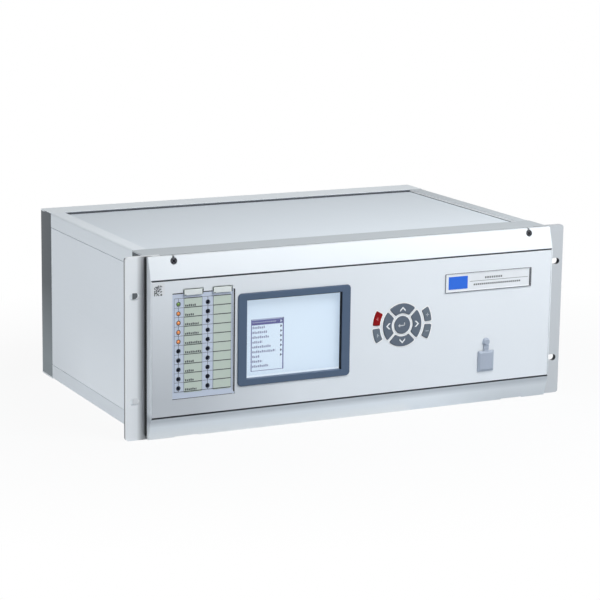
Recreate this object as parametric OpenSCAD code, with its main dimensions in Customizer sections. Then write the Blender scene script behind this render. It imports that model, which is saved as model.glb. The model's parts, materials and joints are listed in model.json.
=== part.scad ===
// Rack-mounted line protection relay, four units high: a chassis of extruded rails with plug-in
// modules at the back, and a front panel with display, lights and keys that is hinged at its foot.
// X runs to the right seen from the front, Y to the back and Z up. All sizes are in millimetres.

/* [Case] */
// Width over both rack ears
ear_span = 482.6; // [481:0.1:484]
// Height of the case, four rack units less the rack clearance
case_h = 177; // [176.5:0.1:177.5]
// Width of the case body
case_w = 442; // [440:0.5:443]
// Depth from the face of the ears to the rear lip
case_d = 291.5; // [288:0.5:300]
// Thickness of an ear
ear_t = 5; // [4:0.5:6]
// Depth of the rebate in an ear's back that locates it on the case
ear_rebate = 0.5; // [0.3:0.1:1]
// Side to side distance of the rack holes
rack_x = 465; // [464:0.1:466]
// Height between the rack holes
rack_z = 101.6; // [100:0.1:103]
// Diameter of a rack hole
rack_hole = 6.8; // [6:0.1:7]
// length of each slot in the ears, end to end
rack_slot = 10.3; // [9:0.1:10.5]
// Depth of the front frame
front_d = 34; // [32:0.5:36]
// Depth of the rear frame
rear_d = 32; // [31:0.5:34]
// Width and height of a corner rail
rail_w = 15; // [14:0.5:16]
// How far the covers lie below the rails
cover_drop = 2.6; // [2:0.1:3]

/* [Front panel] */
// Distance of the panel's front from the ear faces
door_out = 12; // [11.5:0.1:13]
// Gap between the panel's back and the ear faces
door_gap = 2; // [1.8:0.1:2.2]
// Height of the sloping band along the top and the bottom
band_h = 21.6; // [20:0.1:22]
// How far the outer edge of a band slopes back
band_slope = 6.5; // [5:0.1:7]
// Width of the dark groove between a band and the face plate
seam = 1.2; // [0.8:0.1:1.4]
// Thickness of the face plate
face_t = 2; // [2:0.1:2.2]
// Sideways distance of a captive screw from the middle
screw_x = 195.5; // [190:0.5:197]

/* [Display] */
// Middle of the display from the middle of the panel
lcd_x = -71.1; // [-75:0.1:-69]
// Width of the bezel
bezel_w = 120.8; // [118:0.1:122]
// Height of the bezel
bezel_h = 91; // [90:0.1:92]
// Width of the window
window_w = 102.3; // [100:0.1:103]
// Height of the window
window_h = 77.8; // [76:0.1:79]

/* [Status lights] */
// Number of lights in each of the two columns
light_rows = 10; // [8:1:10]
// Height from one light to the next
light_pitch = 9.05; // [8.8:0.05:9.1]
// Diameter of a light
light_d = 3.6; // [3:0.1:3.8]

/* [Keys] */
// Middle of the keypad from the middle of the panel
pad_x = 47.8; // [45:0.1:50]
// Radius of the round key
centre_r = 8.8; // [8:0.1:9]
// Inner radius of the four arrow keys
arrow_r0 = 12; // [11.8:0.1:12.4]
// Outer radius of the four arrow keys
arrow_r1 = 21.5; // [21:0.1:22]
// Inner radius of the four curved keys
arc_r0 = 25.4; // [25:0.1:26]
// Outer radius of the four curved keys
arc_r1 = 33; // [32:0.1:34]
// Travel of a key
key_travel = 0.8; // [0.5:0.1:0.8]

/* [Service port] */
// Width of the rubber cover
flap_w = 18.6; // [17:0.1:20]
// Height of the rubber cover
flap_h = 21.2; // [19:0.1:22]
// How far the rubber cover stands out
flap_t = 2.6; // [2.2:0.1:3.5]

/* [Rear modules] */
// Number of module slots
slots = 16; // [16:1:16]
// Width of one slot
slot_w = 25.4; // [25.2:0.05:25.4]
// Screw terminals in one pluggable block
block_ways = 22; // [10:1:22]
// How far the terminal blocks stand out behind the plates
block_d = 13; // [10:0.5:14]

/* [Hidden] */
$fn = 40;
mid_z = case_h / 2;
half_w = case_w / 2;
front_face = -door_out;
door_back = -door_gap;
door_z0 = 0.6;
door_z1 = case_h - 0.2;
edge_r = 2;
skin_t = 1.5;
web_h = 12;
seat_y = ear_t - ear_rebate;
side_t = 2;
cover_t = 2;
fit = 0.3;
lip_h = 7;
lip_t = 3;
inner_w = half_w - rail_w;
post_x = half_w - 17.2;
rear_y = case_d - rear_d;
plate_y = case_d - 6.5;
plate_t = 2;
mid_y = (plate_y + plate_t + block_d - door_out - flap_t) / 2;

// Hinge line of the front panel
hinge_y = -3.4;
hinge_z = 3.6;
hinge_x = 191.5;
pin_r = 1.2;
pin_x = [186.5, 203];
pin_fit = 0.05;
lug_r = 2;
lug_w = 5;
pin_entry = 20;

// Face plate and what lies behind it
plate_z0 = door_z0 + band_h + seam;
plate_z1 = door_z1 - band_h - seam;
face_back = front_face + face_t;
board_y = -5;
board_t = 1.6;
board_x = 203;
board_z = [34, 143];
board_notch = [132, 56];
studs = [[-200, 38], [-200, 139], [-4, 38], [-4, 139], [98, 38], [98, 139], [199, 62], [199, 139]];
opening_x = 208;
opening_z = [32, 145];

// Display
lcd_z = mid_z + 2.5;
bezel_out = 1.5;
glass_y = -8.1;
glass_t = 1.2;
lcd_w = 118;
lcd_h = 90;

// Light panel, as distances from the middle of the panel
panel_x = [-199, -134.2];
panel_z = [mid_z - 49.5, mid_z + 53.4];
panel_drop = 1.2;
strip_x = [[-186.8, -168.5], [-156.6, -138.3]];
light_x = [-192.6, -162.4];
light_z = mid_z + 42.6;
tab_h = 3.6;
pull_t = 2;

// Keys
pad_z = mid_z + 2.2;
key_out = 1;
key_gap = 0.25;
key_flange = 0.8;
key_flange_t = 0.7;
arc_a = [3.4, 29.5];
arrow_gap = 1.55;
key_corner = 1;
centre_pad = 16.75;

// Service port and its rubber cover
port_x = 145.1;
port_z = mid_z - 43.4;
flange_w = 25;
rivet_x = 10;
flap_edge_t = 0.9;
flap_slope = 2.1;
flap_axis_z = port_z + flap_h / 2 + 1;
flap_axis_y = front_face - 1;
strap_w = 5.6;
strap_t = 1.5;
knob_z = mid_z - 23.5;
knob_r = 3.9;

// Captive screws
screw_z = case_h - 5;
head_r = 3.2;
head_fit = 0.3;
slot_reach = (rack_slot - rack_hole) / 2;
shaft_r = 2;

// Card cage
card_x0 = 5;
card_t = 1.6;
card_y = [46, plate_y];
card_z = [14, case_h - 14];
rib_h = 12;
back_y = 28.4;
back_t = 1.6;
socket_d = 11;
ribbon_x = [2, 52];
ribbon_y = [6, 12.8];
ribbon_z = 17.5;
ribbon_t = 0.9;
plug_z = 96;

// Moves a piece from the ear plane to the middle of the whole object
module place() {
    translate([0, -mid_y, 0]) children();
}

// Extrudes a (y, z) section from x0 to x1
module along_x(x0, x1) {
    translate([x0, 0, 0]) rotate([90, 0, 90]) linear_extrude(x1 - x0) children();
}

// Extrudes an (x, z) outline from y0 to y1
module along_y(y0, y1) {
    translate([0, y1, 0]) rotate([90, 0, 0]) linear_extrude(y1 - y0) children();
}

// Extrudes an (x, y) outline from z0 to z1
module along_z(z0, z1) {
    translate([0, 0, z0]) linear_extrude(z1 - z0) children();
}

// Rectangle given by its two ranges
module panel(a, b) {
    translate([a[0], b[0]]) square([a[1] - a[0], b[1] - b[0]]);
}

// Rectangle with round corners, given by its two ranges
module round_panel(a, b, r) {
    panel([a[0] + r, a[1] - r], b);
    panel(a, [b[0] + r, b[1] - r]);
    for (x = [a[0] + r, a[1] - r], y = [b[0] + r, b[1] - r]) {
        translate([x, y]) circle(r = r);
    }
}

// Box given by its three ranges
module block(x, y, z) {
    translate([x[0], y[0], z[0]]) cube([x[1] - x[0], y[1] - y[0], z[1] - z[0]]);
}

// Round bar or bore along Y
module rod_y(x, z, r, y0, y1) {
    translate([x, y1, z]) rotate([90, 0, 0]) cylinder(r = r, h = y1 - y0);
}

// Round bar or bore along X
module rod_x(y, z, r, x0, x1) {
    translate([x0, y, z]) rotate([0, 90, 0]) cylinder(r = r, h = x1 - x0);
}

// Copies to the left or to the bottom by reflection in the middle planes
module to_left(flip) {
    mirror([flip ? 1 : 0, 0, 0]) children();
}

module to_bottom(flip) {
    translate([0, 0, flip ? case_h : 0]) mirror([0, 0, flip ? 1 : 0]) children();
}

// Place of the card and its guide in slot number i, counted from the left
function slot_left(i) = -slots * slot_w / 2 + slot_w * i;
function card_x(i) = slot_left(i) + card_x0;

// Front of a sloping band at height z
function band_y(z) = front_face + band_slope
    * max(0, (z - door_z1 + band_h) / band_h, (door_z0 + band_h - z) / band_h);

// Ears

module ear(flip) {
    color("#dfe4e9") place() to_left(flip) difference() {
        union() {
            along_y(0, seat_y) panel([inner_w + fit, half_w + 2], [0, case_h]);
            along_y(0, ear_t) {
                panel([half_w + fit, ear_span / 2 - 3], [0, case_h]);
                panel([ear_span / 2 - 4, ear_span / 2], [3, case_h - 3]);
                for (z = [3, case_h - 3]) {
                    translate([ear_span / 2 - 3, z]) circle(r = 3);
                }
            }
        }
        along_y(-1, ear_t + 1) for (z = [-1, 1]) {
            slot_z = mid_z + z * rack_z / 2;
            for (x = [-1, 1]) {
                translate([rack_x / 2 + x * slot_reach, slot_z]) circle(r = rack_hole / 2);
            }
            panel([rack_x / 2 - slot_reach, rack_x / 2 + slot_reach],
                [slot_z - rack_hole / 2, slot_z + rack_hole / 2]);
        }
        for (z = [-1, 0, 1]) {
            translate([half_w - 8, 0, mid_z + z * 60]) rotate([-90, 0, 0]) {
                cylinder(r = 2.1, h = ear_t + 1);
                translate([0, 0, -0.01]) cylinder(r1 = 4.2, r2 = 2.1, h = 2.1);
            }
        }
    }
}

// Chassis frame

// Section of a corner rail, with its outer corner at the origin
module corner_rail_section() {
    difference() {
        union() {
            panel([-rail_w, -edge_r], [-rail_w, 0]);
            panel([-rail_w, 0], [-rail_w, -edge_r]);
            translate([-edge_r, -edge_r]) circle(r = edge_r);
            panel([-side_t - 2.5, -side_t - 0.1], [-rail_w - 12, -rail_w + 1]);
            panel([-rail_w - 5, -rail_w + 1], [-cover_drop - cover_t - 3, -cover_drop - cover_t - 0.1]);
        }
        translate([-5.6, -5.6]) circle(r = 2.1);
        panel([-12.6, -9.4], [-12.6, -3]);
        panel([-9.4, -3], [-12.6, -9.4]);
    }
}

module corner_rail(flip_x, flip_z) {
    color("#c8cfd6") place() to_bottom(flip_z) to_left(flip_x)
        translate([half_w, 0, case_h]) along_y(front_d, rear_y) corner_rail_section();
}

// Section of a front or rear rail below its top skin, starting at the outer face
module rail_web_section(depth) {
    difference() {
        panel([1, depth - 1], [case_h - web_h, case_h - skin_t + 0.2]);
        panel([3.2, depth / 2 - 1], [case_h - web_h + 2, case_h - skin_t - 2]);
        panel([depth / 2 + 1, depth - 3.2], [case_h - web_h + 2, case_h - skin_t - 2]);
    }
}

module front_rail_bar() {
    along_z(case_h - skin_t, case_h) {
        panel([-half_w, half_w], [seat_y, front_d]);
        panel([-inner_w, inner_w], [0.5, front_d]);
    }
    along_x(-post_x + fit, post_x - fit) {
        rail_web_section(front_d);
        panel([back_y + back_t, back_y + back_t + lip_t], [case_h - web_h - lip_h, case_h - web_h + 1]);
    }
}

module front_top_rail() {
    color("#c8cfd6") place() difference() {
        front_rail_bar();
        for (x = [-screw_x, screw_x]) {
            rod_y(x, screw_z, shaft_r + 0.7, 0, front_d / 2);
        }
    }
}

// The bottom rail carries the two lugs that the panel's hinge pins sit in
module front_bottom_rail() {
    color("#c8cfd6") place() difference() {
        union() {
            to_bottom(true) front_rail_bar();
            for (x = [-hinge_x, hinge_x]) {
                rod_x(hinge_y, hinge_z, lug_r, x - lug_w / 2, x + lug_w / 2);
                block([x - lug_w / 2, x + lug_w / 2], [hinge_y, 2], [hinge_z - lug_r, hinge_z + lug_r]);
            }
        }
        for (x = [-hinge_x, hinge_x]) {
            rod_x(hinge_y, hinge_z, pin_r, x - lug_w, x + lug_w);
        }
    }
}

module rear_rail(flip) {
    color("#c8cfd6") place() to_bottom(flip) {
        along_z(case_h - skin_t, case_h) {
            panel([-half_w, half_w], [rear_y, case_d - edge_r]);
            panel([-half_w + edge_r, half_w - edge_r], [rear_y, case_d]);
            for (x = [-half_w + edge_r, half_w - edge_r]) {
                translate([x, case_d - edge_r]) circle(r = edge_r);
            }
        }
        difference() {
            along_x(-post_x + fit, post_x - fit) translate([rear_y, 0])
                rail_web_section(plate_y - rear_y + 1);
            for (i = [0 : slots - 1]) {
                rod_y(slot_left(i) + slot_w / 2, case_h - 8, 1.3, plate_y - 8, plate_y + 1);
            }
        }
    }
}

// Section of a post, with a closed chamber and a screw channel
module post_section(y0, y1) {
    difference() {
        panel([post_x, half_w], [y0, y1]);
        panel([post_x + 2.4, half_w - 2.4], [y0 + 7, y1 - 7]);
        for (y = [y0 + 4, y1 - 4]) {
            translate([half_w - 8, y]) circle(r = 2);
        }
    }
}

module front_post(flip) {
    color("#5c656c") place() to_left(flip) difference() {
        along_z(skin_t, case_h - skin_t) post_section(seat_y, front_d - fit);
        for (z = [-1, 0, 1]) {
            rod_y(half_w - 8, mid_z + z * 60, 2, seat_y - 1, ear_t + 10);
        }
    }
}

module rear_post(flip) {
    color("#5c656c") place() to_left(flip) difference() {
        along_z(skin_t, case_h - skin_t) difference() {
            post_section(rear_y, case_d);
            difference() {
                panel([half_w - edge_r, half_w + 1], [case_d - edge_r, case_d + 1]);
                translate([half_w - edge_r, case_d - edge_r]) circle(r = edge_r);
            }
        }
        for (z = [-1, 1]) {
            rod_y(half_w - 8, mid_z + z * 60, 2, case_d - 10, case_d + 1);
        }
    }
}

module side_plate(flip) {
    color("#c3cad2") place() to_left(flip) difference() {
        block([half_w - side_t, half_w], [front_d + fit, rear_y - fit],
            [rail_w + 0.4, case_h - rail_w - 0.4]);
        for (y = [front_d + 30, rear_y - 30]) {
            rod_x(y, rail_w + 8, 1.5, half_w - side_t - 1, half_w - side_t / 2);
            rod_x(y, case_h - rail_w - 8, 1.5, half_w - side_t - 1, half_w - side_t / 2);
        }
    }
}

// Extruded cover whose inner side carries one grooved card guide for each slot
module cover_section() {
    z1 = case_h - cover_drop;
    z0 = z1 - cover_t;
    panel([-inner_w + fit, inner_w - fit], [z0, z1]);
    for (i = [0 : slots - 1]) {
        x = card_x(i) + card_t / 2;
        difference() {
            panel([x - 2.3, x + 2.3], [z0 - rib_h, z0 + 0.5]);
            panel([x - card_t / 2 - 0.15, x + card_t / 2 + 0.15], [z0 - rib_h - 1, card_z[1] + 0.4]);
            panel([x - 1.1, x + 1.1], [card_z[1] + 1.8, z0]);
        }
    }
}

module cover(flip) {
    color("#cdd4db") place() to_bottom(flip) along_y(front_d + fit, rear_y - fit) cover_section();
}

// Countersunk screw with a cross recess, head up at the origin
module flat_screw(r, l) {
    difference() {
        union() {
            cylinder(r1 = r, r2 = 2 * r, h = r);
            translate([0, 0, -l]) cylinder(r = r, h = l + 0.1);
        }
        for (a = [0, 90]) {
            rotate([0, 0, a]) translate([-r, -0.3, r - 0.8]) cube([2 * r, 0.6, 1]);
        }
    }
}

// Raised screw with a cross recess, head on the origin plane
module pan_screw(r, l) {
    difference() {
        union() {
            cylinder(r = 1.9 * r, h = 0.8 * r);
            translate([0, 0, -l]) cylinder(r = r, h = l + 0.1);
        }
        for (a = [0, 90]) {
            rotate([0, 0, a]) translate([-1.2 * r, -0.3, 0.3 * r]) cube([2.4 * r, 0.6, r]);
        }
    }
}

module case_screws() {
    color("#a9afb5") place() {
        for (s = [-1, 1], z = [-1, 0, 1]) {
            translate([s * (half_w - 8), 2, mid_z + z * 60]) rotate([90, 0, 0]) flat_screw(2, 8);
        }
        for (s = [-1, 1], z = [-1, 1]) {
            translate([s * (half_w - 8), case_d, mid_z + z * 60]) rotate([-90, 0, 0]) pan_screw(2, 8);
        }
    }
}

module hinge_pins() {
    color("#b8bcc0") place() {
        for (flip = [false, true]) {
            to_left(flip) rod_x(hinge_y, hinge_z, pin_r, pin_x[0], pin_x[1]);
        }
    }
}

// Plug-in modules

// Box header with an open mouth towards the front, for a flat ribbon plug
module box_header(x, y, z) {
    difference() {
        block(x, y, z);
        block([x[0] + 1.2, x[1] - 1.2], [y[0] - 1, y[1] - 2], [z[0] + 1.2, z[1] - 1.2]);
    }
}

module backplane() {
    color("#2f6b4a") place() {
        block([-post_x + 1, post_x - 1], [back_y, back_y + back_t], [web_h + 0.5, case_h - web_h - 0.5]);
        for (i = [0 : slots - 1]) {
            x = card_x(i) + card_t / 2;
            difference() {
                block([x - 5, x + 5], [back_y + back_t, back_y + back_t + socket_d], [30, 125]);
                block([x - 3, x + 3], [back_y + back_t + 3, back_y + back_t + socket_d + 1], [34, 121]);
            }
        }
        for (x = [-150, -90, 90, 120, 170]) {
            block([x - 6, x + 6], [back_y - 2, back_y + 0.1], [70, 82]);
        }
        for (x = [-120, -40, 75]) {
            rod_y(x, 45, 4, back_y - 9, back_y + 0.1);
        }
    }
    color("#1d1f22") place() translate([0, back_y, 0])
        box_header(ribbon_x, [-8, 0.1], [plug_z - 4.5, plug_z + 4.5]);
}

// Rear plate with a card behind it in slot i, n slots wide
module module_base(i, n) {
    x0 = slot_left(i) + 0.2;
    x1 = slot_left(i + n) - 0.2;
    c = card_x(i);
    difference() {
        block([x0, x1], [plate_y, plate_y + plate_t], [3.5, case_h - 3.5]);
        for (k = [i : n == 1 ? 1 : n - 1 : i + n - 1], z = [8, case_h - 8]) {
            rod_y(slot_left(k) + slot_w / 2, z, 1.7, plate_y - 1, plate_y + plate_t + 1);
        }
    }
    block([c, c + card_t], [card_y[0], plate_y + 0.1], card_z);
    for (z = [24, case_h - 24]) {
        block([c + card_t - 0.1, c + 8], [plate_y - 7, plate_y + 0.1], [z - 3, z + 3]);
    }
    block([c - 1.9, c + card_t + 1.9], [card_y[0] - 9, card_y[0] + 0.5], [36, 119]);
}

// Pluggable screw terminals about height zc: a wire entry and a screw for each way
module terminal_block(x0, w, ways, pitch, zc = mid_z) {
    z0 = zc - ways * pitch / 2;
    y1 = plate_y + plate_t + block_d;
    difference() {
        union() {
            block([x0, x0 + w], [plate_y + plate_t - 0.1, y1], [z0 - 3, z0 + ways * pitch + 3]);
            block([x0 - 1.2, x0 + w + 1.2], [plate_y + plate_t - 0.1, plate_y + plate_t + 5],
                [z0 - 5, z0 + ways * pitch + 5]);
        }
        for (k = [0 : ways - 1]) {
            z = z0 + pitch * (k + 0.5);
            block([x0 + w - 6.2, x0 + w - 2.4], [y1 - 8, y1 + 1], [z - 1.8, z + 1.8]);
            rod_y(x0 + 4.6, z, 1.7, y1 - 3, y1 + 1);
        }
    }
}

module pluggable_module(i, body, deep) {
    color(body) place() {
        module_base(i, 1);
        terminal_block(slot_left(i) + 6.5, 14.5, block_ways, 5.9);
        for (k = [0 : 6]) {
            z = 28 + 17.5 * k;
            block([card_x(i) + card_t - 0.1, card_x(i) + card_t + deep], [205, 233], [z, z + 12]);
        }
    }
}

module power_module() {
    i = 0;
    color("#b9c0c7") place() {
        module_base(i, 2);
        terminal_block(slot_left(i) + 24, 14.5, 13, 8.4);
        for (z = [40, 75]) {
            rod_y(card_x(i) + 16, z, 11, 150, 185);
            block([card_x(i) + card_t - 0.1, card_x(i) + 17], [155, 180], [z - 3, z + 3]);
        }
        block([card_x(i) + card_t - 0.1, card_x(i) + 32], [70, 125], [50, 110]);
    }
}

// Current and voltage inputs: two heavy terminal blocks and a row of transformers on the card
module analog_module() {
    i = 10;
    color("#b9c0c7") place() {
        module_base(i, 4);
        for (x = [18, 62]) {
            terminal_block(slot_left(i) + x, 20, 12, 10.8);
        }
        for (a = [0 : 2], b = [0 : 1]) {
            y = 90 + 55 * a;
            z = 28 + 62 * b;
            block([card_x(i) + card_t - 0.1, card_x(i) + 38], [y, y + 34], [z, z + 42]);
            block([card_x(i) + 6, card_x(i) + 30], [y - 7, y + 41], [z + 8, z + 34]);
        }
    }
}

// Mouth of a network socket, with the step for the plug's latch, 13 deep
module jack_mouth(x, z, y0, y1) {
    block([x - 6, x + 6], [y0, y1], [z - 3.6, z + 3.6]);
    block([x - 3.2, x + 3.2], [y0, y1], [z - 5.6, z + 1]);
}

module processor_module() {
    i = 15;
    x = slot_left(i) + slot_w / 2;
    y1 = plate_y + plate_t + 1.5;
    color("#b9c0c7") place() {
        difference() {
            union() {
                module_base(i, 1);
                for (k = [0 : 3]) {
                    z = 150 - 21 * k;
                    block([card_x(i) + 1, x + 8.2], [plate_y - 14, y1], [z - 7, z + 7]);
                }
                terminal_block(slot_left(i) + 7, 13, 6, 5.4, 46);
            }
            for (k = [0 : 3]) {
                jack_mouth(x, 150 - 21 * k, y1 - 13, y1 + 1);
            }
        }
    }
}

// Optical channel: threaded round couplers with their ferrules
module fibre_module() {
    i = 14;
    x = slot_left(i) + slot_w / 2;
    color("#b9c0c7") place() {
        module_base(i, 1);
        for (z = [142, 122, 60, 40]) {
            translate([x, plate_y + plate_t - 0.1, z]) rotate([-90, 0, 0]) {
                cylinder(r = 6.4, h = 2.4, $fn = 6);
                difference() {
                    cylinder(r = 4, h = 10.5);
                    translate([0, 0, 3]) cylinder(r = 3, h = 10);
                }
                cylinder(r = 1.25, h = 9.5);
            }
        }
        block([card_x(i) + card_t - 0.1, card_x(i) + 4], [120, 150], [70, 100]);
    }
}

module blank_plate() {
    color("#b9c0c7") place() difference() {
        block([slot_left(2) + 0.2, slot_left(6) - 0.2], [plate_y, plate_y + plate_t], [3.5, case_h - 3.5]);
        for (k = [2, 5], z = [8, case_h - 8]) {
            rod_y(slot_left(k) + slot_w / 2, z, 1.7, plate_y - 1, plate_y + plate_t + 1);
        }
    }
}

// One screw at each end of each plate, two on the wide ones
module module_screws() {
    color("#c4c8cc") place() {
        for (k = [0, 1, 2, 5, 6, 7, 8, 9, 10, 13, 14, 15], z = [8, case_h - 8]) {
            translate([slot_left(k) + slot_w / 2, plate_y + plate_t, z]) rotate([-90, 0, 0])
                pan_screw(1.3, 8);
        }
    }
}

module earth_stud() {
    color("#c9b26a") place() translate([slot_left(0) + 12, plate_y + plate_t, 34]) rotate([-90, 0, 0]) {
        cylinder(r = 6, h = 1);
        translate([0, 0, 0.9]) cylinder(r = 4.6, h = 3.2, $fn = 6);
        cylinder(r = 2.5, h = 11);
    }
}

// Flat lead between the panel's board and the backplane

// A strap in the (y, z) plane: down from the panel's plug, round and up to the backplane's plug
module ribbon_lead() {
    ym = (ribbon_y[0] + ribbon_y[1]) / 2;
    rm = (ribbon_y[1] - ribbon_y[0]) / 2;
    t = ribbon_t / 2;
    color("#9aa0a6") place() {
        along_x(ribbon_x[0] + 3, ribbon_x[1] - 3) {
            for (y = ribbon_y) {
                panel([y - t, y + t], [ribbon_z, plug_z]);
            }
            translate([ym, ribbon_z]) intersection() {
                difference() {
                    circle(r = rm + t);
                    circle(r = rm - t);
                }
                panel([-rm - 1, rm + 1], [-rm - 1, 0]);
            }
        }
        block([ribbon_x[0] + 2, ribbon_x[1] - 2], [0.2, ribbon_y[0] + 1], [plug_z - 3, plug_z + 3]);
        block([ribbon_x[0] + 2, ribbon_x[1] - 2], [ribbon_y[1] - 1, back_y - 3], [plug_z - 3, plug_z + 3]);
    }
}

// Front panel

module door_section() {
    polygon([[door_back, door_z0 + 0.8], [door_back - 0.8, door_z0], [band_y(door_z0), door_z0],
        [front_face, door_z0 + band_h], [front_face, door_z1 - band_h], [band_y(door_z1), door_z1],
        [door_back, door_z1]]);
}

module door_frame() {
    color("#e6ebf0") place() difference() {
        along_x(-half_w, half_w) door_section();
        along_y(front_face - 1, front_face + face_t + 0.2)
            panel([-half_w + 0.9, half_w - 0.9], [door_z0 + band_h, door_z1 - band_h]);
        along_y(front_face, 0) round_panel([-opening_x, opening_x], opening_z, 4);
        for (z = [[10, 28], [149, 166]]) {
            along_y(-6.3, 0) round_panel([-opening_x + 12, opening_x - 12], z, 2);
        }
        for (s = [-1, 1]) {
            rod_y(s * screw_x, screw_z, head_r + head_fit, front_face - 1, door_back - 3);
            block([s * screw_x - 1.2, s * screw_x + 1.2],
                [front_face - 1, door_back - 3], [screw_z, case_h + 1]);
            rod_y(s * screw_x, screw_z, shaft_r + 0.05, front_face, 0);
        }
        for (flip = [false, true]) {
            to_left(flip) {
                block([hinge_x - lug_w / 2 - pin_entry, hinge_x + lug_w / 2 + fit],
                    [hinge_y - lug_r - fit, 0], [0, hinge_z + lug_r + fit]);
                rod_x(hinge_y, hinge_z, pin_r + pin_fit, hinge_x, pin_x[1] + 0.2);
            }
        }
    }
}

module light_panel_outline(grow) {
    panel([panel_x[0] - grow, panel_x[1] + grow], [panel_z[0] - grow, panel_z[1] + grow]);
    for (s = strip_x) {
        panel([s[0] - 1.4 - grow, s[1] + 1.4 + grow], [panel_z[1] - 1, panel_z[1] + tab_h + grow]);
    }
}

key_names = ["enter", "up", "down", "left", "right", "red", "back", "plus", "minus"];

// Part of a ring between two rays from the middle
module sector(r0, r1, a0, a1) {
    am = (a0 + a1) / 2;
    far = 2 * r1;
    intersection() {
        difference() {
            circle(r = r1, $fn = 96);
            circle(r = r0, $fn = 96);
        }
        polygon([[0, 0], far * [cos(a0), sin(a0)], far * [cos(am), sin(am)], far * [cos(a1), sin(a1)]]);
    }
}

// Side of a ring key along the X axis, with its two rounded corners
module key_side(r0, r1, gap, m) {
    v = gap + key_corner;
    u0 = sqrt(pow(r0 + key_corner, 2) - v * v);
    u1 = sqrt(pow(r1 - key_corner, 2) - v * v);
    rm = (r0 + r1) / 2;
    a = atan(v / u0);
    polygon([[u0, gap - m], [u1, gap - m], [u1, v], rm * [cos(a + 1), sin(a + 1)], [u0, v + 0.1]]);
    for (u = [u0, u1]) {
        translate([u, v]) circle(r = key_corner + m);
    }
}

// Ring key from radius r0 to r1 between two rays, each side drawn back by a gap
module ring_key(r0, r1, a0, a1, gap, m) {
    v = gap + key_corner;
    rm = (r0 + r1) / 2;
    d0 = asin(v / (r0 + key_corner));
    d1 = asin(v / (r1 - key_corner));
    sector(r0 - m, rm + 0.01, a0 + d0, a1 - d0);
    sector(rm, r1 + m, a0 + d1, a1 - d1);
    rotate(a0) key_side(r0, r1, gap, m);
    rotate(a1) mirror([0, 1]) key_side(r0, r1, gap, m);
}

// One key's outline with rounded corners, grown by m
module key_shape(name, m) {
    translate([pad_x, pad_z]) {
        if (name == "enter") {
            circle(r = centre_r + m);
        } else if (name == "right") {
            ring_key(arrow_r0, arrow_r1, -45, 45, arrow_gap, m);
        } else if (name == "up") {
            ring_key(arrow_r0, arrow_r1, 45, 135, arrow_gap, m);
        } else if (name == "left") {
            ring_key(arrow_r0, arrow_r1, 135, 225, arrow_gap, m);
        } else if (name == "down") {
            ring_key(arrow_r0, arrow_r1, 225, 315, arrow_gap, m);
        } else if (name == "plus") {
            ring_key(arc_r0, arc_r1, arc_a[0], arc_a[1], 0, m);
        } else if (name == "minus") {
            ring_key(arc_r0, arc_r1, -arc_a[1], -arc_a[0], 0, m);
        } else if (name == "red") {
            ring_key(arc_r0, arc_r1, 180 - arc_a[1], 180 - arc_a[0], 0, m);
        } else {
            ring_key(arc_r0, arc_r1, 180 + arc_a[0], 180 + arc_a[1], 0, m);
        }
    }
}

module face_plate() {
    color("#cfd5db") place() difference() {
        along_y(front_face, face_back) panel([-half_w + 1.2, half_w - 1.2], [plate_z0, plate_z1]);
        along_y(front_face - 1, front_face + panel_drop) light_panel_outline(0);
        for (x = light_x, k = [0 : light_rows - 1]) {
            rod_y(x, light_z - k * light_pitch, light_d / 2 + 0.2, front_face, 0);
        }
        along_y(front_face - 1, 0) {
            panel([lcd_x - window_w / 2 - 2.3, lcd_x + window_w / 2 + 2.3],
                [lcd_z - window_h / 2 - 2.3, lcd_z + window_h / 2 + 2.3]);
            panel([port_x - 7, port_x + 7], [port_z - 6.5, port_z + 6.5]);
            for (name = key_names) {
                key_shape(name, key_gap);
            }
        }
        rod_y(port_x, knob_z, 1.7, front_face - 1, 0);
    }
    color("#cfd5db") place() for (p = studs) {
        rod_y(p[0], p[1], 1.5, face_back - 0.1, board_y + board_t + 1.4);
        rod_y(p[0], p[1], 2.6, face_back - 0.1, board_y);
    }
    color("#cfd5db") place() for (s = [-1, 1]) {
        rod_y(port_x + s * rivet_x, port_z, 1.1, face_back - 0.1, face_back + 1.7);
        rod_y(port_x + s * rivet_x, port_z, 1.9, face_back + 1.2, face_back + 1.7);
    }
}

module display_bezel() {
    color("#4f627c") place() difference() {
        union() {
            along_y(front_face - bezel_out + 0.5, front_face)
                round_panel([lcd_x - bezel_w / 2, lcd_x + bezel_w / 2],
                    [lcd_z - bezel_h / 2, lcd_z + bezel_h / 2], 4);
            along_y(front_face - bezel_out, front_face)
                round_panel([lcd_x - bezel_w / 2 + 0.6, lcd_x + bezel_w / 2 - 0.6],
                    [lcd_z - bezel_h / 2 + 0.6, lcd_z + bezel_h / 2 - 0.6], 3.4);
            along_y(front_face - 0.5, glass_y)
                panel([lcd_x - window_w / 2 - 2, lcd_x + window_w / 2 + 2],
                    [lcd_z - window_h / 2 - 2, lcd_z + window_h / 2 + 2]);
        }
        along_y(front_face - 5, 0)
            panel([lcd_x - window_w / 2, lcd_x + window_w / 2], [lcd_z - window_h / 2, lcd_z + window_h / 2]);
    }
}

module display_glass() {
    color("#dfe8f2") place() block([lcd_x - 54.5, lcd_x + 54.5], [glass_y, glass_y + glass_t],
        [lcd_z - 41.5, lcd_z + 41.5]);
}

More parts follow.
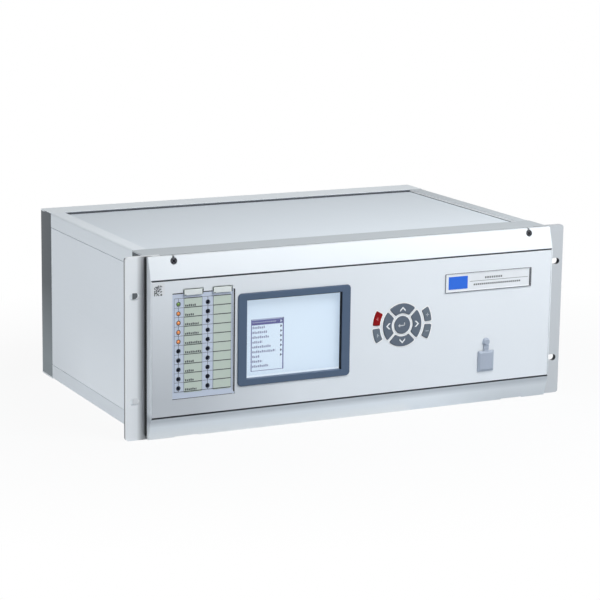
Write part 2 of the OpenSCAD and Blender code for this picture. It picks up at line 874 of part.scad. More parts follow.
module display_module() {
    y0 = glass_y + glass_t;
    color("#9fa7ae") place() {
        difference() {
            block([lcd_x - lcd_w / 2, lcd_x + lcd_w / 2], [y0, 1], [lcd_z - lcd_h / 2, lcd_z + lcd_h / 2]);
            block([lcd_x - 53, lcd_x + 53], [y0 - 1, y0 + 1], [lcd_z - 40.5, lcd_z + 40.5]);
        }
        for (x = [-1, 1], z = [-1, 1]) {
            translate([lcd_x + x * 61, 0, lcd_z + z * 38]) difference() {
                block([-4.5, 4.5], [board_y + board_t, board_y + board_t + 1], [-4, 4]);
                rod_y(x * 1.6, 0, 1.2, board_y, 0);
            }
        }
    }
}

module light_overlay() {
    y1 = front_face + panel_drop;
    color("#d9e2ee") place() difference() {
        along_y(y1 - 0.5, y1)
            panel([panel_x[0] + fit, panel_x[1] - fit], [panel_z[0] + fit, panel_z[1] - fit]);
        for (x = light_x, k = [0 : light_rows - 1]) {
            rod_y(x, light_z - k * light_pitch, light_d / 2 + 0.2, y1 - 1, y1 + 1);
        }
    }
}

// Cards that name the lights, with a pull at the top to draw them out by
module label_strips() {
    y1 = front_face + panel_drop - 0.5;
    color("#c5dcc8") place() {
        for (s = strip_x) {
            along_y(y1 - 0.3, y1) panel(s, [light_z - (light_rows - 0.5) * light_pitch, panel_z[1] + 1]);
            along_y(y1 - pull_t, y1 - 0.2)
                round_panel([s[0] - 0.6, s[1] + 0.4], [panel_z[1] - 2.3, panel_z[1] + tab_h - 0.4], 1);
        }
    }
}

module status_lights() {
    r = light_d / 2;
    tip = front_face + 0.1;
    color("#e0762c") place() {
        for (x = light_x, k = [0 : light_rows - 1]) {
            z = light_z - k * light_pitch;
            rod_y(x, z, r, tip + r, board_y);
            translate([x, tip + r, z]) sphere(r = r);
        }
    }
}

module panel_board() {
    color("#2f6b4a") place() {
        difference() {
            block([-board_x, board_x], [board_y, board_y + board_t], board_z);
            block([lcd_x - lcd_w / 2 - fit, lcd_x + lcd_w / 2 + fit], [board_y - 1, 0],
                [lcd_z - lcd_h / 2 - fit, lcd_z + lcd_h / 2 + fit]);
            block([board_notch[0], board_x + 1], [board_y - 1, 0], [board_z[0] - 1, board_notch[1]]);
            for (p = studs) {
                rod_y(p[0], p[1], 1.6, board_y - 1, 0);
            }
        }
        for (p = [[20, 120], [60, 118], [105, 100], [105, 60], [170, 110]]) {
            block([p[0] - 8, p[0] + 8], [board_y + board_t - 0.1, board_y + board_t + 1.6],
                [p[1] - 8, p[1] + 8]);
        }
        translate([0, board_y + board_t, 0]) mirror([0, 1, 0])
            box_header(ribbon_x, [-7.4, 0.1], [plug_z - 4.5, plug_z + 4.5]);
    }
}

function key_middle(name) =
    name == "enter" ? [0, 0]
    : name == "right" ? [centre_pad, 0]
    : name == "up" ? [0, centre_pad]
    : name == "left" ? [-centre_pad, 0]
    : name == "down" ? [0, -centre_pad]
    : let (a = (arc_a[0] + arc_a[1]) / 2,
           t = name == "plus" ? a : name == "minus" ? -a : name == "red" ? 180 - a : 180 + a)
      (arc_r0 + arc_r1) / 2 * [cos(t), sin(t)];

// Rubber sheet whose domes push the keys back out
module key_mat() {
    color("#8d949b") place() {
        along_y(board_y - 1, board_y) round_panel([pad_x - 38, pad_x + 38], [pad_z - 26, pad_z + 26], 3);
        for (name = key_names) {
            p = key_middle(name);
            translate([pad_x + p[0], board_y - 0.9, pad_z + p[1]]) rotate([90, 0, 0])
                cylinder(r1 = 3.4, r2 = 2, h = 2.1);
        }
    }
}

// A key cap with a stepped edge, and the flange that holds it behind the plate
module key(name, tint) {
    y0 = front_face - key_out;
    color(tint) place() {
        along_y(y0, y0 + 0.6) key_shape(name, -0.35);
        along_y(y0 + 0.3, face_back + 0.2) key_shape(name, 0);
        along_y(face_back + 0.05, face_back + 0.05 + key_flange_t) key_shape(name, key_flange);
    }
}

module nameplate() {
    x = [95.7, 196.1];
    z = [mid_z + 30.2, mid_z + 49.7];
    y0 = front_face - 0.9;
    color("#eef1f4") place() difference() {
        along_y(y0, front_face) round_panel(x, z, 0.8);
        along_y(y0 - 1, y0 + 0.4) round_panel([x[0] + 1.2, x[1] - 1.2], [z[0] + 1.2, z[1] - 1.2], 0.4);
    }
}

// Network jack with a flange that two rivets of the face plate hold
module port_socket() {
    color("#b4bac0") place() difference() {
        union() {
            block([port_x - 7.7, port_x + 7.7], [face_back, 7], [port_z - 7.2, port_z + 7.2]);
            block([port_x - flange_w / 2, port_x + flange_w / 2], [face_back, face_back + 1.2],
                [port_z - 7.2, port_z + 7.2]);
        }
        jack_mouth(port_x, port_z + 0.8, face_back - 1, 3);
        for (s = [-1, 1]) {
            rod_y(port_x + s * rivet_x, port_z, 1.2, face_back - 1, 0);
        }
    }
}

// Button and neck of the rubber cover, held in the face plate
module cover_strap() {
    z0 = flap_axis_z + strap_t / 2 + 0.1;
    color("#8fa0b8") place() {
        translate([port_x, front_face, knob_z]) rotate([90, 0, 0]) {
            cylinder(r = knob_r, h = 1.4);
            translate([0, 0, 1.3]) cylinder(r1 = knob_r, r2 = knob_r - 1.2, h = 1.6);
        }
        rod_y(port_x, knob_z, 1.6, front_face - 0.1, face_back + 0.6);
        block([port_x - strap_w / 2, port_x + strap_w / 2],
            [flap_axis_y - strap_t / 2, flap_axis_y + strap_t / 2], [z0, knob_z - knob_r + 0.6]);
        rod_y(port_x, knob_z, 2.6, face_back, face_back + 0.8);
    }
}

// Section across the flap: low sides, a slope on each and a flat front
module flap_section(w) {
    polygon([[-w / 2, 0], [w / 2, 0], [w / 2, flap_edge_t], [w / 2 - flap_slope, flap_t - 0.1],
        [-w / 2 + flap_slope, flap_t - 0.1], [-w / 2, flap_edge_t]]);
}

// Rubber flap that shuts the service port, with a slope all round its front
module port_cover() {
    z1 = port_z + flap_h / 2;
    color("#8fa0b8") place() {
        translate([port_x, front_face - 0.1, port_z]) rotate([90, 0, 0]) intersection() {
            rotate([90, 0, 0]) linear_extrude(flap_h, center = true) flap_section(flap_w);
            rotate([90, 0, 90]) linear_extrude(flap_w, center = true) flap_section(flap_h);
        }
        block([port_x - strap_w / 2, port_x + strap_w / 2],
            [flap_axis_y - strap_t / 2, flap_axis_y + strap_t / 2], [z1 - 1.2, flap_axis_z]);
        rod_x(flap_axis_y, flap_axis_z, strap_t / 2, port_x - strap_w / 2, port_x + strap_w / 2);
    }
}

// Soft seal between the panel and the ears, open along the hinge
module door_gasket() {
    x1 = half_w + 1.4;
    color("#15181c") place() along_y(door_back, -fit) difference() {
        panel([-x1, x1], [4, door_z1 - 0.4]);
        panel([-x1 + 8, x1 - 8], [3, door_z1 - 2.4]);
    }
}

// Captive screw with a cross recess, turned to free the panel
module captive_screw(flip) {
    y1 = door_back - 3;
    color("#3a3f45") place() to_left(flip) difference() {
        union() {
            rod_y(screw_x, screw_z, head_r, y1 - 2.2, y1);
            rod_y(screw_x, screw_z, shaft_r, y1 - 0.1, 6);
        }
        translate([screw_x, y1 - 2.2, screw_z]) for (a = [45, 135]) {
            rotate([0, a, 0]) block([-2.4, 2.4], [-1, 1.2], [-0.45, 0.45]);
        }
    }
}

ear(true);  // ear_left
ear(false);  // ear_right
corner_rail(true, false);  // corner_rail_top_left
corner_rail(false, false);  // corner_rail_top_right
corner_rail(true, true);  // corner_rail_bottom_left
corner_rail(false, true);  // corner_rail_bottom_right
front_top_rail();
front_bottom_rail();
rear_rail(false);  // rear_top_rail
rear_rail(true);  // rear_bottom_rail
front_post(true);  // front_post_left
front_post(false);  // front_post_right
rear_post(true);  // rear_post_left
rear_post(false);  // rear_post_right
side_plate(true);  // side_plate_left
side_plate(false);  // side_plate_right
cover(false);  // top_cover
cover(true);  // bottom_cover
case_screws();
backplane();
hinge_pins();
power_module();
pluggable_module(6, "#b9c0c7", 15);  // output_module_1
pluggable_module(7, "#b9c0c7", 15);  // output_module_2
pluggable_module(8, "#b9c0c7", 5);  // input_module_1
pluggable_module(9, "#b9c0c7", 5);  // input_module_2
analog_module();
fibre_module();
processor_module();
blank_plate();
module_screws();
earth_stud();
ribbon_lead();
door_frame();
face_plate();
display_bezel();
display_glass();
display_module();
light_overlay();
label_strips();
status_lights();
panel_board();
key_mat();
key("enter", "#56677e");  // key_enter
key("up", "#56677e");  // key_up
key("down", "#56677e");  // key_down
key("left", "#56677e");  // key_left
key("right", "#56677e");  // key_right
key("red", "#961a1c");  // key_red
key("back", "#6b7787");  // key_back
key("plus", "#6b7787");  // key_plus
key("minus", "#6b7787");  // key_minus
nameplate();
port_socket();
cover_strap();
port_cover();
door_gasket();
captive_screw(true);  // captive_screw_left
captive_screw(false);  // captive_screw_right
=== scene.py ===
"""Looks for a rack-mounted protection relay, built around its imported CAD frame.

Sizes in this file are in millimetres of the panel's own frame: X to the right seen from the front,
Y to the back from the face of the rack ears, and Z up from the underside. The function metres()
turns them into the row frame.
"""

import json
import logging
import math
from dataclasses import dataclass, field
from enum import Enum
from typing import Any, Iterable, Sequence

import bmesh
import bpy
import numpy as np
from mathutils import Matrix, Vector

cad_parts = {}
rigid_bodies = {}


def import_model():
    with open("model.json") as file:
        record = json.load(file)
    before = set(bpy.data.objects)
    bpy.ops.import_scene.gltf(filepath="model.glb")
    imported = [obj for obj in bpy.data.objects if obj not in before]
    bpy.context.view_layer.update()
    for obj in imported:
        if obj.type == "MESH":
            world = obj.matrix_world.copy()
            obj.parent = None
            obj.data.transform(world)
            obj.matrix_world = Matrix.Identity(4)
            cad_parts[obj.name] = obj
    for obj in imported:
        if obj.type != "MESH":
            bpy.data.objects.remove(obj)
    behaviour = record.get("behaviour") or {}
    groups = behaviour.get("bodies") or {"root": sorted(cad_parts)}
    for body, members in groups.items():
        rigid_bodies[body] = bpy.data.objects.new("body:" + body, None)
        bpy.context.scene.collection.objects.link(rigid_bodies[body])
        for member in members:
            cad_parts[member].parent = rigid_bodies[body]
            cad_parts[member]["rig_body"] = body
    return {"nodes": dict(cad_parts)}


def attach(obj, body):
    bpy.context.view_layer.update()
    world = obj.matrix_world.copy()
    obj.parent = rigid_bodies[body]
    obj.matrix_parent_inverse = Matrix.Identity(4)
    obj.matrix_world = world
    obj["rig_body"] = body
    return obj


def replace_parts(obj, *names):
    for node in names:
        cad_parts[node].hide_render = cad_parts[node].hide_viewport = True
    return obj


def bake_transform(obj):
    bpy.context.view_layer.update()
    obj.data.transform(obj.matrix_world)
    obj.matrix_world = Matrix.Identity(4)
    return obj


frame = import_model()

LOG = logging.getLogger("relay")
Array = np.ndarray
Colour = tuple[float, float, float]

# In panel millimetres: middle of the whole depth, height of the case and its middle, face plate's front
MID_Y = 142.7
CASE_H = 177.0
MID_Z = CASE_H / 2
FRONT_FACE = -12.0
# Edges sharper than this many degrees are rounded
SHARP_EDGE = 30.0
# How deep in its face a print starts, where nothing else is said
PRINT_ROOT = 0.1
# Middle angle of each arrow key and the two end angles of each curved key, in degrees
ARROW_KEYS = {"right": 0, "up": 90, "left": 180, "down": 270}
CURVED_KEYS = {"plus": (3.4, 29.5), "minus": (-29.5, -3.4), "red": (150.5, 176.6), "back": (183.4, 209.5)}


def metres(points: Any) -> Array:
    """Panel millimetres to row-frame metres.

    Args:
        points: One point or an array of points, with x, y and z last.

    Returns:
        The same points as an array in metres.
    """
    p = np.asarray(points, float)
    return (p - np.array([0.0, MID_Y, 0.0])) / 1000.0


def depth_at(y: float) -> float:
    """Row-frame y of a place along the depth, given in panel millimetres."""
    return (y - MID_Y) / 1000.0


def toned(colour: Colour, factor: float) -> Colour:
    """The colour times a factor, with no part above 1."""
    return tuple(min(1.0, c * factor) for c in colour)


def linked(name: str, data: Any) -> Any:
    """A new object with that name and data, in the scene."""
    made = bpy.data.objects.new(name, data)
    bpy.context.scene.collection.objects.link(made)
    return made


# Shader expressions


class Value:
    """One output socket of a shader node, whose operators add Math nodes."""

    def __init__(self, graph: "Graph", socket: bpy.types.NodeSocket) -> None:
        """Keeps the graph and the socket."""
        self.graph = graph
        self.socket = socket

    def _math(self, operation: str, *terms: Any) -> "Value":
        """A Math node of that operation on the terms."""
        inputs = dict(enumerate(terms))
        return self.graph.node("ShaderNodeMath", {"operation": operation}, inputs)[0]

    def __add__(self, other: Any) -> "Value":
        """Sum."""
        return self._math("ADD", self, other)

    __radd__ = __add__

    def __sub__(self, other: Any) -> "Value":
        """Difference."""
        return self._math("SUBTRACT", self, other)

    def __rsub__(self, other: Any) -> "Value":
        """Difference with a number first."""
        return self._math("SUBTRACT", other, self)

    def __mul__(self, other: Any) -> "Value":
        """Product."""
        return self._math("MULTIPLY", self, other)

    __rmul__ = __mul__

    def __pow__(self, other: Any) -> "Value":
        """Power."""
        return self._math("POWER", self, other)

    def __gt__(self, other: Any) -> "Value":
        """1 where this is above the other."""
        return self._math("GREATER_THAN", self, other)

    def __lt__(self, other: Any) -> "Value":
        """1 where this is below the other."""
        return self._math("LESS_THAN", self, other)

    def fraction(self) -> "Value":
        """Part after the decimal point."""
        return self._math("FRACT", self)

    def absolute(self) -> "Value":
        """Distance from zero."""
        return self._math("ABSOLUTE", self)

    def larger(self, other: Any) -> "Value":
        """The larger of the two."""
        return self._math("MAXIMUM", self, other)

    def clamped(self) -> "Value":
        """Held between 0 and 1."""
        return self.graph.node("ShaderNodeClamp", {}, {"Value": self})[0]


class Graph:
    """The node tree of one material."""

    def __init__(self, name: str) -> None:
        """Starts a material with a Principled shader.

        Args:
            name: The material's name.
        """
        self.material = bpy.data.materials.new(name)
        self.material.use_nodes = True
        self.tree = self.material.node_tree
        self.tree.nodes.clear()
        self.output = self.tree.nodes.new("ShaderNodeOutputMaterial")
        self.shader = self.tree.nodes.new("ShaderNodeBsdfPrincipled")
        self.tree.links.new(self.shader.outputs[0], self.output.inputs["Surface"])

    def put(self, socket: bpy.types.NodeSocket, value: Any) -> None:
        """Links or sets one input.

        Args:
            socket: The input socket.
            value: A Value to link, or a plain number, colour or vector.
        """
        if isinstance(value, Value):
            self.tree.links.new(value.socket, socket)
        elif socket.type == "RGBA" and len(value) == 3:
            socket.default_value = (*value, 1.0)
        else:
            socket.default_value = value

    def node(
        self, kind: str, settings: dict[str, Any] | None = None, inputs: dict[Any, Any] | None = None
    ) -> list[Value]:
        """Adds any node.

        Args:
            kind: The node's type name.
            settings: Its properties, set first.
            inputs: Values or links of its sockets, by name or number.

        Returns:
            One Value for each output that is in use.
        """
        made = self.tree.nodes.new(kind)
        for key, value in (settings or {}).items():
            setattr(made, key, value)
        for key, value in (inputs or {}).items():
            self.put(made.inputs[key], value)
        return [Value(self, s) for s in made.outputs if s.enabled]

    def place(self) -> Value:
        """Object coordinates, in metres of the row frame."""
        return self.node("ShaderNodeTexCoord")[3]

    def axes(self) -> list[Value]:
        """Object x, y and z as three numbers."""
        return self.node("ShaderNodeSeparateXYZ", {}, {0: self.place()})

    def noise(self, scale: Sequence[float] | float, detail: float = 2.0, seed: float = 0.0) -> Value:
        """Noise on Object coordinates, between about 0 and 1.

        Args:
            scale: Waves a metre, one number for all axes or one each for x, y and z.
            detail: Octaves.
            seed: Shift of the pattern.

        Returns:
            The noise value.
        """
        along = scale if isinstance(scale, tuple) else (scale,) * 3
        where = {"Vector": self.place(), "Location": (seed,) * 3, "Scale": along}
        mapped = self.node("ShaderNodeMapping", {}, where)[0]
        return self.node("ShaderNodeTexNoise", {}, {"Vector": mapped, "Scale": 1.0, "Detail": detail})[0]

    def tint(self, factor: Any, a: Any, b: Any) -> Value:
        """Colour a where factor is 0 and b where it is 1; a Mix node has them at inputs 6 and 7."""
        return self.node("ShaderNodeMix", {"data_type": "RGBA"}, {0: factor, 6: a, 7: b})[0]

    def varied(self, factor: Any, colour: Colour, low: float, high: float) -> Value:
        """The colour times low where factor is 0 and times high where it is 1."""
        return self.tint(factor, toned(colour, low), toned(colour, high))

    def shade(self, colour: Any, tone_boxes: Sequence["Recess"]) -> Any:
        """The colour, mixed to the tone of each tone box where that lies; nearly all of them are painted
        shade and painted light.

        Args:
            colour: The colour outside them.
            tone_boxes: The boxes of painted shade and painted light, each laid over those before it.

        Returns:
            The mixed colour, or the same colour where there are none.
        """
        # Each box lays its painted shade or painted light over the colour.
        for recess in tone_boxes:
            colour = self.tint(recess.mask(self), colour, recess.tone)
        return colour

    def bump(self, height: Value, strength: float, distance: float) -> None:
        """Joins a height to the shader's normal.

        Args:
            height: The height, about 0 to 1.
            strength: Strength of the bump.
            distance: Height in metres that 1 stands for.
        """
        made = self.node("ShaderNodeBump", {}, {"Height": height, "Strength": strength, "Distance": distance})
        self.put(self.shader.inputs["Normal"], made[0])

    def finish(self, **sockets: Any) -> bpy.types.Material:
        """Sets the shader's sockets, named with _ for a space.

        Args:
            **sockets: Values or numbers for the Principled shader.

        Returns:
            The material.
        """
        for key, value in sockets.items():
            self.put(self.shader.inputs[key.replace("_", " ")], value)
        return self.material


@dataclass(frozen=True)
class Recess:
    """A box in panel millimetres where a surface has a tone of its own, nearly always painted shade or
    painted light.

    A dark tone is painted shade in a groove, under a groove, on a wall, at an edge or in a slot. A wide soft
    box with a tone a little darker or paler than the rest is painted shade or painted light on a broad face;
    one only turns the front posts pale below their middle. An axis without limits is open. The mask is the
    depth
    times a product over the axes: distance to the nearer limit, positive inside, over the softness, plus one
    half, held between 0 and 1.
    """

    x: Sequence[float] | None = None
    y: Sequence[float] | None = None
    z: Sequence[float] | None = None
    soft: float = 0.1
    depth: float = 0.95
    tone: Colour = (0.014, 0.016, 0.020)

    def mask(self, g: Graph) -> Value:
        """1 inside the box and 0 outside it."""
        total: Any = self.depth
        for axis, limits, shift in zip(g.axes(), (self.x, self.y, self.z), (0.0, MID_Y, 0.0)):
            if limits is not None:
                middle, half = sum(limits) / 2 - shift, (limits[1] - limits[0]) / 2
                near = half - (axis * 1000.0 - middle).absolute()
                total = (near * (1 / self.soft) + 0.5).clamped() * total
        return total


class Grain(Enum):
    """Direction of the fine lines that extruding or brushing leaves."""

    ALONG_X = (9.0, 2600.0, 2600.0)
    ALONG_Y = (2600.0, 9.0, 2600.0)
    ALONG_Z = (2600.0, 2600.0, 9.0)


@dataclass(frozen=True)
class Anodised:
    """Anodised aluminium with fine extrusion lines."""

    name: str
    colour: Colour
    grain: Grain
    roughness: float = 0.36
    metallic: float = 0.45
    tone_boxes: tuple[Recess, ...] = ()

    def make(self) -> bpy.types.Material:
        """Builds the material: line noise on colour, roughness and height, with faint handling marks."""
        g = Graph(self.name)
        lines = g.noise(self.grain.value, detail=3.0)
        smudge = g.noise(14.0, detail=3.0, seed=3.1)
        g.bump(lines, strength=0.05, distance=0.00004)
        tone = g.varied(lines * 0.6 + smudge * 0.4, self.colour, 0.955, 1.025)
        return g.finish(
            Base_Color=g.shade(tone, self.tone_boxes),
            Roughness=self.roughness - 0.04 + lines * 0.04 + smudge * 0.06,
            Metallic=self.metallic,
        )


@dataclass(frozen=True)
class Coated:
    """Satin powder coat or paint with a fine orange peel."""

    name: str
    colour: Colour
    roughness: float = 0.42
    peel: float = 0.06
    tone_boxes: tuple[Recess, ...] = ()

    def make(self) -> bpy.types.Material:
        """Builds the material: fine noise for the peel, and a slow change of tone."""
        g = Graph(self.name)
        fine = g.noise(1500.0)
        slow = g.noise(9.0, detail=3.0, seed=1.7)
        g.bump(fine, strength=self.peel, distance=0.00005)
        tone = g.varied(slow * 0.7 + fine * 0.3, self.colour, 0.955, 1.02)
        return g.finish(
            Base_Color=g.shade(tone, self.tone_boxes),
            Roughness=self.roughness - 0.05 + fine * 0.06 + slow * 0.05,
        )


@dataclass(frozen=True)
class Moulded:
    """Moulded plastic or rubber with a spark-eroded grain."""

    name: str
    colour: Colour
    roughness: float = 0.45
    grain: float = 0.2
    specular: float = 0.5

    def make(self) -> bpy.types.Material:
        """Builds the material: fine noise for the grain, and a faint bloom."""
        g = Graph(self.name)
        fine = g.noise(2400.0)
        slow = g.noise(40.0, seed=5.3)
        g.bump(fine, strength=self.grain, distance=0.00006)
        return g.finish(
            Base_Color=g.varied(slow * 0.6 + fine * 0.4, self.colour, 0.88, 1.06),
            Roughness=self.roughness - 0.04 + fine * 0.08,
            Specular_IOR_Level=self.specular,
        )


@dataclass(frozen=True)
class Ink:
    """Screen-printed ink, a little uneven."""

    name: str
    colour: Colour
    roughness: float = 0.5

    def make(self) -> bpy.types.Material:
        """Builds the material: fine noise on colour, roughness and height."""
        g = Graph(self.name)
        fine = g.noise(3000.0)
        g.bump(fine, strength=0.05, distance=0.00003)
        tone = g.varied(fine, self.colour, 0.9, 1.05)
        return g.finish(Base_Color=tone, Roughness=self.roughness - 0.03 + fine * 0.06)


@dataclass(frozen=True)
class Plated:
    """Bare or plated steel or brass, turned or rolled."""

    name: str
    colour: Colour
    roughness: float = 0.32
    tone_boxes: tuple[Recess, ...] = ()

    def make(self) -> bpy.types.Material:
        """Builds the material: speckle of the plating on colour, roughness and height."""
        g = Graph(self.name)
        fine = g.noise(1800.0, detail=3.0)
        g.bump(fine, strength=0.08, distance=0.00004)
        return g.finish(
            Base_Color=g.shade(g.varied(fine, self.colour, 0.82, 1.0), self.tone_boxes),
            Roughness=self.roughness - 0.05 + fine * 0.12,
            Metallic=1.0,
        )


@dataclass(frozen=True)
class Lens:
    """Coloured lens of a status light, lit or dark."""

    name: str
    colour: Colour
    glow: float = 0.0
    roughness: float = 0.2
    coat: float = 0.4
    specular: float = 0.5

    def make(self) -> bpy.types.Material:
        """Builds the material: a clear coat over a speckled body, which glows in its own colour when lit."""
        g = Graph(self.name)
        fine = g.noise(900.0, detail=1.0)
        body = g.varied(fine, self.colour, 0.75, 1.0)
        return g.finish(
            Base_Color=body,
            Emission_Color=body,
            Emission_Strength=self.glow,
            Roughness=self.roughness + fine * 0.05,
            Coat_Weight=self.coat,
            Specular_IOR_Level=self.specular,
        )


@dataclass(frozen=True)
class Screen:
    """Pale backlit screen, a little brighter towards its middle, with a painted highlight: a paler rim of
    glow at its left and its foot.

    The rim starts at the reach, in millimetres left of the middle and below it. Rows are counted to a metre.
    """

    name: str = "screen"
    middle: Sequence[float] = (-71.1, 0.0, 91.0)
    reach: Sequence[float] = (49.9, 37.6)
    colour: Colour = (0.58, 0.69, 0.80)
    edge: Colour = (0.55, 0.67, 0.80)
    rim: Colour = (0.74, 0.83, 0.92)
    housing: Colour = (0.50, 0.53, 0.56)
    front_y: float = -5.8
    body: float = 0.45
    glow: float = 0.78
    falloff: float = 300.0
    rows: float = 3000.0

    def make(self) -> bpy.types.Material:
        """Builds the material: falloff with distance from the middle, and the fine pixel rows.

        Only the front of the module glows; the rest is its grey housing.
        """
        g = Graph(self.name)
        x, y, z = g.axes()
        front = y < depth_at(self.front_y)
        centre = metres(self.middle)
        far = ((x - centre[0]) * (x - centre[0]) + (z - centre[2]) * (z - centre[2])) * self.falloff
        rows = ((z * self.rows).fraction() - 0.5).absolute()
        # Painted highlight: left of and below the reach the glow turns to the paler rim colour.
        border = (x < centre[0] - self.reach[0] / 1000) + (z < centre[2] - self.reach[1] / 1000)
        lit = g.tint(border.clamped(), g.tint(far.clamped(), self.colour, self.edge), self.rim)
        lacquer = g.varied(rows, toned(self.colour, self.body), 1.0, 0.96)
        return g.finish(
            Base_Color=g.tint(front, self.housing, lacquer),
            Emission_Color=g.tint(front, (0.0, 0.0, 0.0), lit),
            Emission_Strength=self.glow,
            Roughness=0.3 + rows * 0.08,
        )


@dataclass(frozen=True)
class ClearWindow:
    """Clear window over the screen, which only adds gloss."""

    name: str = "clear_window"

    def make(self) -> bpy.types.Material:
        """Builds the material: nearly clear, with faint dust."""
        g = Graph(self.name)
        dust = g.noise(500.0, detail=3.0)
        return g.finish(Base_Color=(0.9, 0.95, 1.0), Alpha=0.05 + dust * 0.02, Roughness=0.05 + dust * 0.04)


@dataclass(frozen=True)
class CircuitBoard:
    """Green lacquered board with copper tracks and rows of pads under the lacquer.

    The pitch is in millimetres and a block's two sides in metres. The shares part the random tones into
    dark, middle and light. Track and pad are half widths in pitches, the pad's squared.
    """

    name: str
    pitch: float = 2.54
    block: Sequence[float] = (0.023, 0.017)
    shares: Sequence[float] = (0.35, 0.62)
    track: float = 0.12
    pad: float = 0.06
    lacquer: Colour = (0.012, 0.085, 0.042)
    copper: Colour = (0.035, 0.19, 0.085)

    def make(self) -> bpy.types.Material:
        """Builds the material from staggered rectangular blocks, each with its own random tone.

        Dark blocks carry tracks along z, light ones tracks along x and those between them round pads: a
        track is where the fraction of x or z over the pitch is near one half, and a pad where both are.
        """
        g = Graph(self.name)
        x, _, z = g.axes()
        flat = g.node("ShaderNodeCombineXYZ", {}, {0: x, 1: z})[0]
        bricks = {
            "Vector": flat,
            "Color1": (0.0, 0.0, 0.0),
            "Color2": (1.0, 1.0, 1.0),
            "Scale": 1.0,
            "Mortar Size": 0.0,
            "Brick Width": self.block[0],
            "Row Height": self.block[1],
        }
        cells = g.node("ShaderNodeTexBrick", {"offset": 0.37}, bricks)[0]
        low, high = self.shares
        off_x, off_z = (((a * (1000.0 / self.pitch)).fraction() - 0.5).absolute() for a in (x, z))
        along_z, along_x = (off_x < self.track) * (cells < low), (off_z < self.track) * (cells > high)
        pads = (off_x * off_x + off_z * off_z < self.pad) * (cells > low) * (cells < high)
        copper = (along_x + along_z + pads).clamped()
        fine = g.noise(700.0)
        g.bump(copper, strength=0.3, distance=0.00005)
        return g.finish(Base_Color=g.tint(copper, self.lacquer, self.copper), Roughness=0.3 + fine * 0.12)


@dataclass(frozen=True)
class ModuleFinish:
    """A plug-in module: chromated plate, coloured terminals behind it and a green card before it.

    The plate lies between the two places along y, each a hair outside its face.
    """

    name: str
    block: Colour
    plate_y: Sequence[float] = (284.9, 287.02)

    def make(self) -> bpy.types.Material:
        """Builds the material: the place along y says which of the three finishes a point has."""
        g = Graph(self.name)
        _, y, _ = g.axes()
        behind = y > depth_at(self.plate_y[1])
        ahead = y < depth_at(self.plate_y[0])
        fine = g.noise(1400.0)
        plate = g.tint(fine, (0.60, 0.63, 0.66), (0.66, 0.69, 0.72))
        block = g.varied(fine, self.block, 0.85, 1.0)
        board = g.tint(fine, (0.02, 0.11, 0.06), (0.04, 0.17, 0.09))
        g.bump(fine, strength=0.1, distance=0.00005)
        return g.finish(
            Base_Color=g.tint(ahead, g.tint(behind, plate, block), board),
            Metallic=(1.0 - behind) * (1.0 - ahead) * 0.5,
            Roughness=0.4 + fine * 0.1,
        )


@dataclass(frozen=True)
class RibbonFinish:
    """Flat cable: grey insulation ribbed once for each wire, with a red edge wire."""

    name: str = "ribbon_insulation"
    first_x: float = 5.0
    pitch: float = 44.0 / 34

    def make(self) -> bpy.types.Material:
        """Builds the material: distance from the nearest wire along x makes the ribs."""
        g = Graph(self.name)
        x, _, _ = g.axes()
        wire = ((x - self.first_x / 1000) * (1000.0 / self.pitch)).fraction()
        rib = 1.0 - (wire - 0.5).absolute() * 2.0
        first = x < (self.first_x + self.pitch) / 1000
        g.bump(g.noise(900.0), strength=0.1, distance=0.00005)
        grey = g.tint(rib, (0.30, 0.32, 0.34), (0.52, 0.54, 0.56))
        return g.finish(Base_Color=g.tint(first, grey, (0.55, 0.06, 0.05)), Roughness=0.42 + rib * 0.06)


# Mesh making


def circle(n: int) -> Array:
    """Points (x, z) of the unit circle in n even steps, counterclockwise."""
    t = np.linspace(0, 2 * math.pi, n, endpoint=False)
    return np.stack([np.cos(t), np.sin(t)], 1)


def rounded(x: Sequence[float], z: Sequence[float], r: float, n: int = 6) -> Array:
    """Outline of a rectangle with round corners: four quarter circles joined by straight lines.

    Args:
        x: Lowest and highest x.
        z: Lowest and highest z.
        r: Corner radius.
        n: Steps in each corner.

    Returns:
        Points (x, z), counterclockwise.
    """
    a = np.linspace(0, math.pi / 2, n + 1)
    turn = np.concatenate([a, a + math.pi / 2, a + math.pi, a + 1.5 * math.pi])
    cx = np.repeat([x[1] - r, x[0] + r, x[0] + r, x[1] - r], n + 1)
    cz = np.repeat([z[1] - r, z[1] - r, z[0] + r, z[0] + r], n + 1)
    return np.stack([cx + r * np.cos(turn), cz + r * np.sin(turn)], 1)


@dataclass
class Mesh:
    """Vertices in panel millimetres and faces, which can be joined to others."""

    points: Array = field(default_factory=lambda: np.zeros((0, 3)))
    faces: list[Sequence[int]] = field(default_factory=list)

    def __add__(self, other: "Mesh") -> "Mesh":
        """Both meshes as one."""
        n = len(self.points)
        moved = [tuple(i + n for i in f) for f in other.faces]
        return Mesh(np.vstack([self.points, other.points]), self.faces + moved)


def grid(points: Array, closed: bool = False) -> Mesh:
    """Quads between neighbours of a grid of points.

    Args:
        points: Array of shape (rows, columns, 3).
        closed: Joins the last column to the first.

    Returns:
        The mesh, whose faces look along the cross product of column step and row step.
    """
    rows, cols = points.shape[:2]
    index = np.arange(rows * cols).reshape(rows, cols)
    if closed:
        index = np.hstack([index, index[:, :1]])
    quads = np.stack([index[:-1, :-1], index[:-1, 1:], index[1:, 1:], index[1:, :-1]], -1)
    return Mesh(points.reshape(-1, 3), [tuple(q) for q in quads.reshape(-1, 4).tolist()])


def carried(rings: Sequence[tuple[Array, float]], axis: int = 0) -> Array:
    """Points (x, y, z) of outlines (x, z) that each lie at their own y, stacked along the axis."""
    return np.stack([np.insert(outline, 1, y, axis=1) for outline, y in rings], axis)


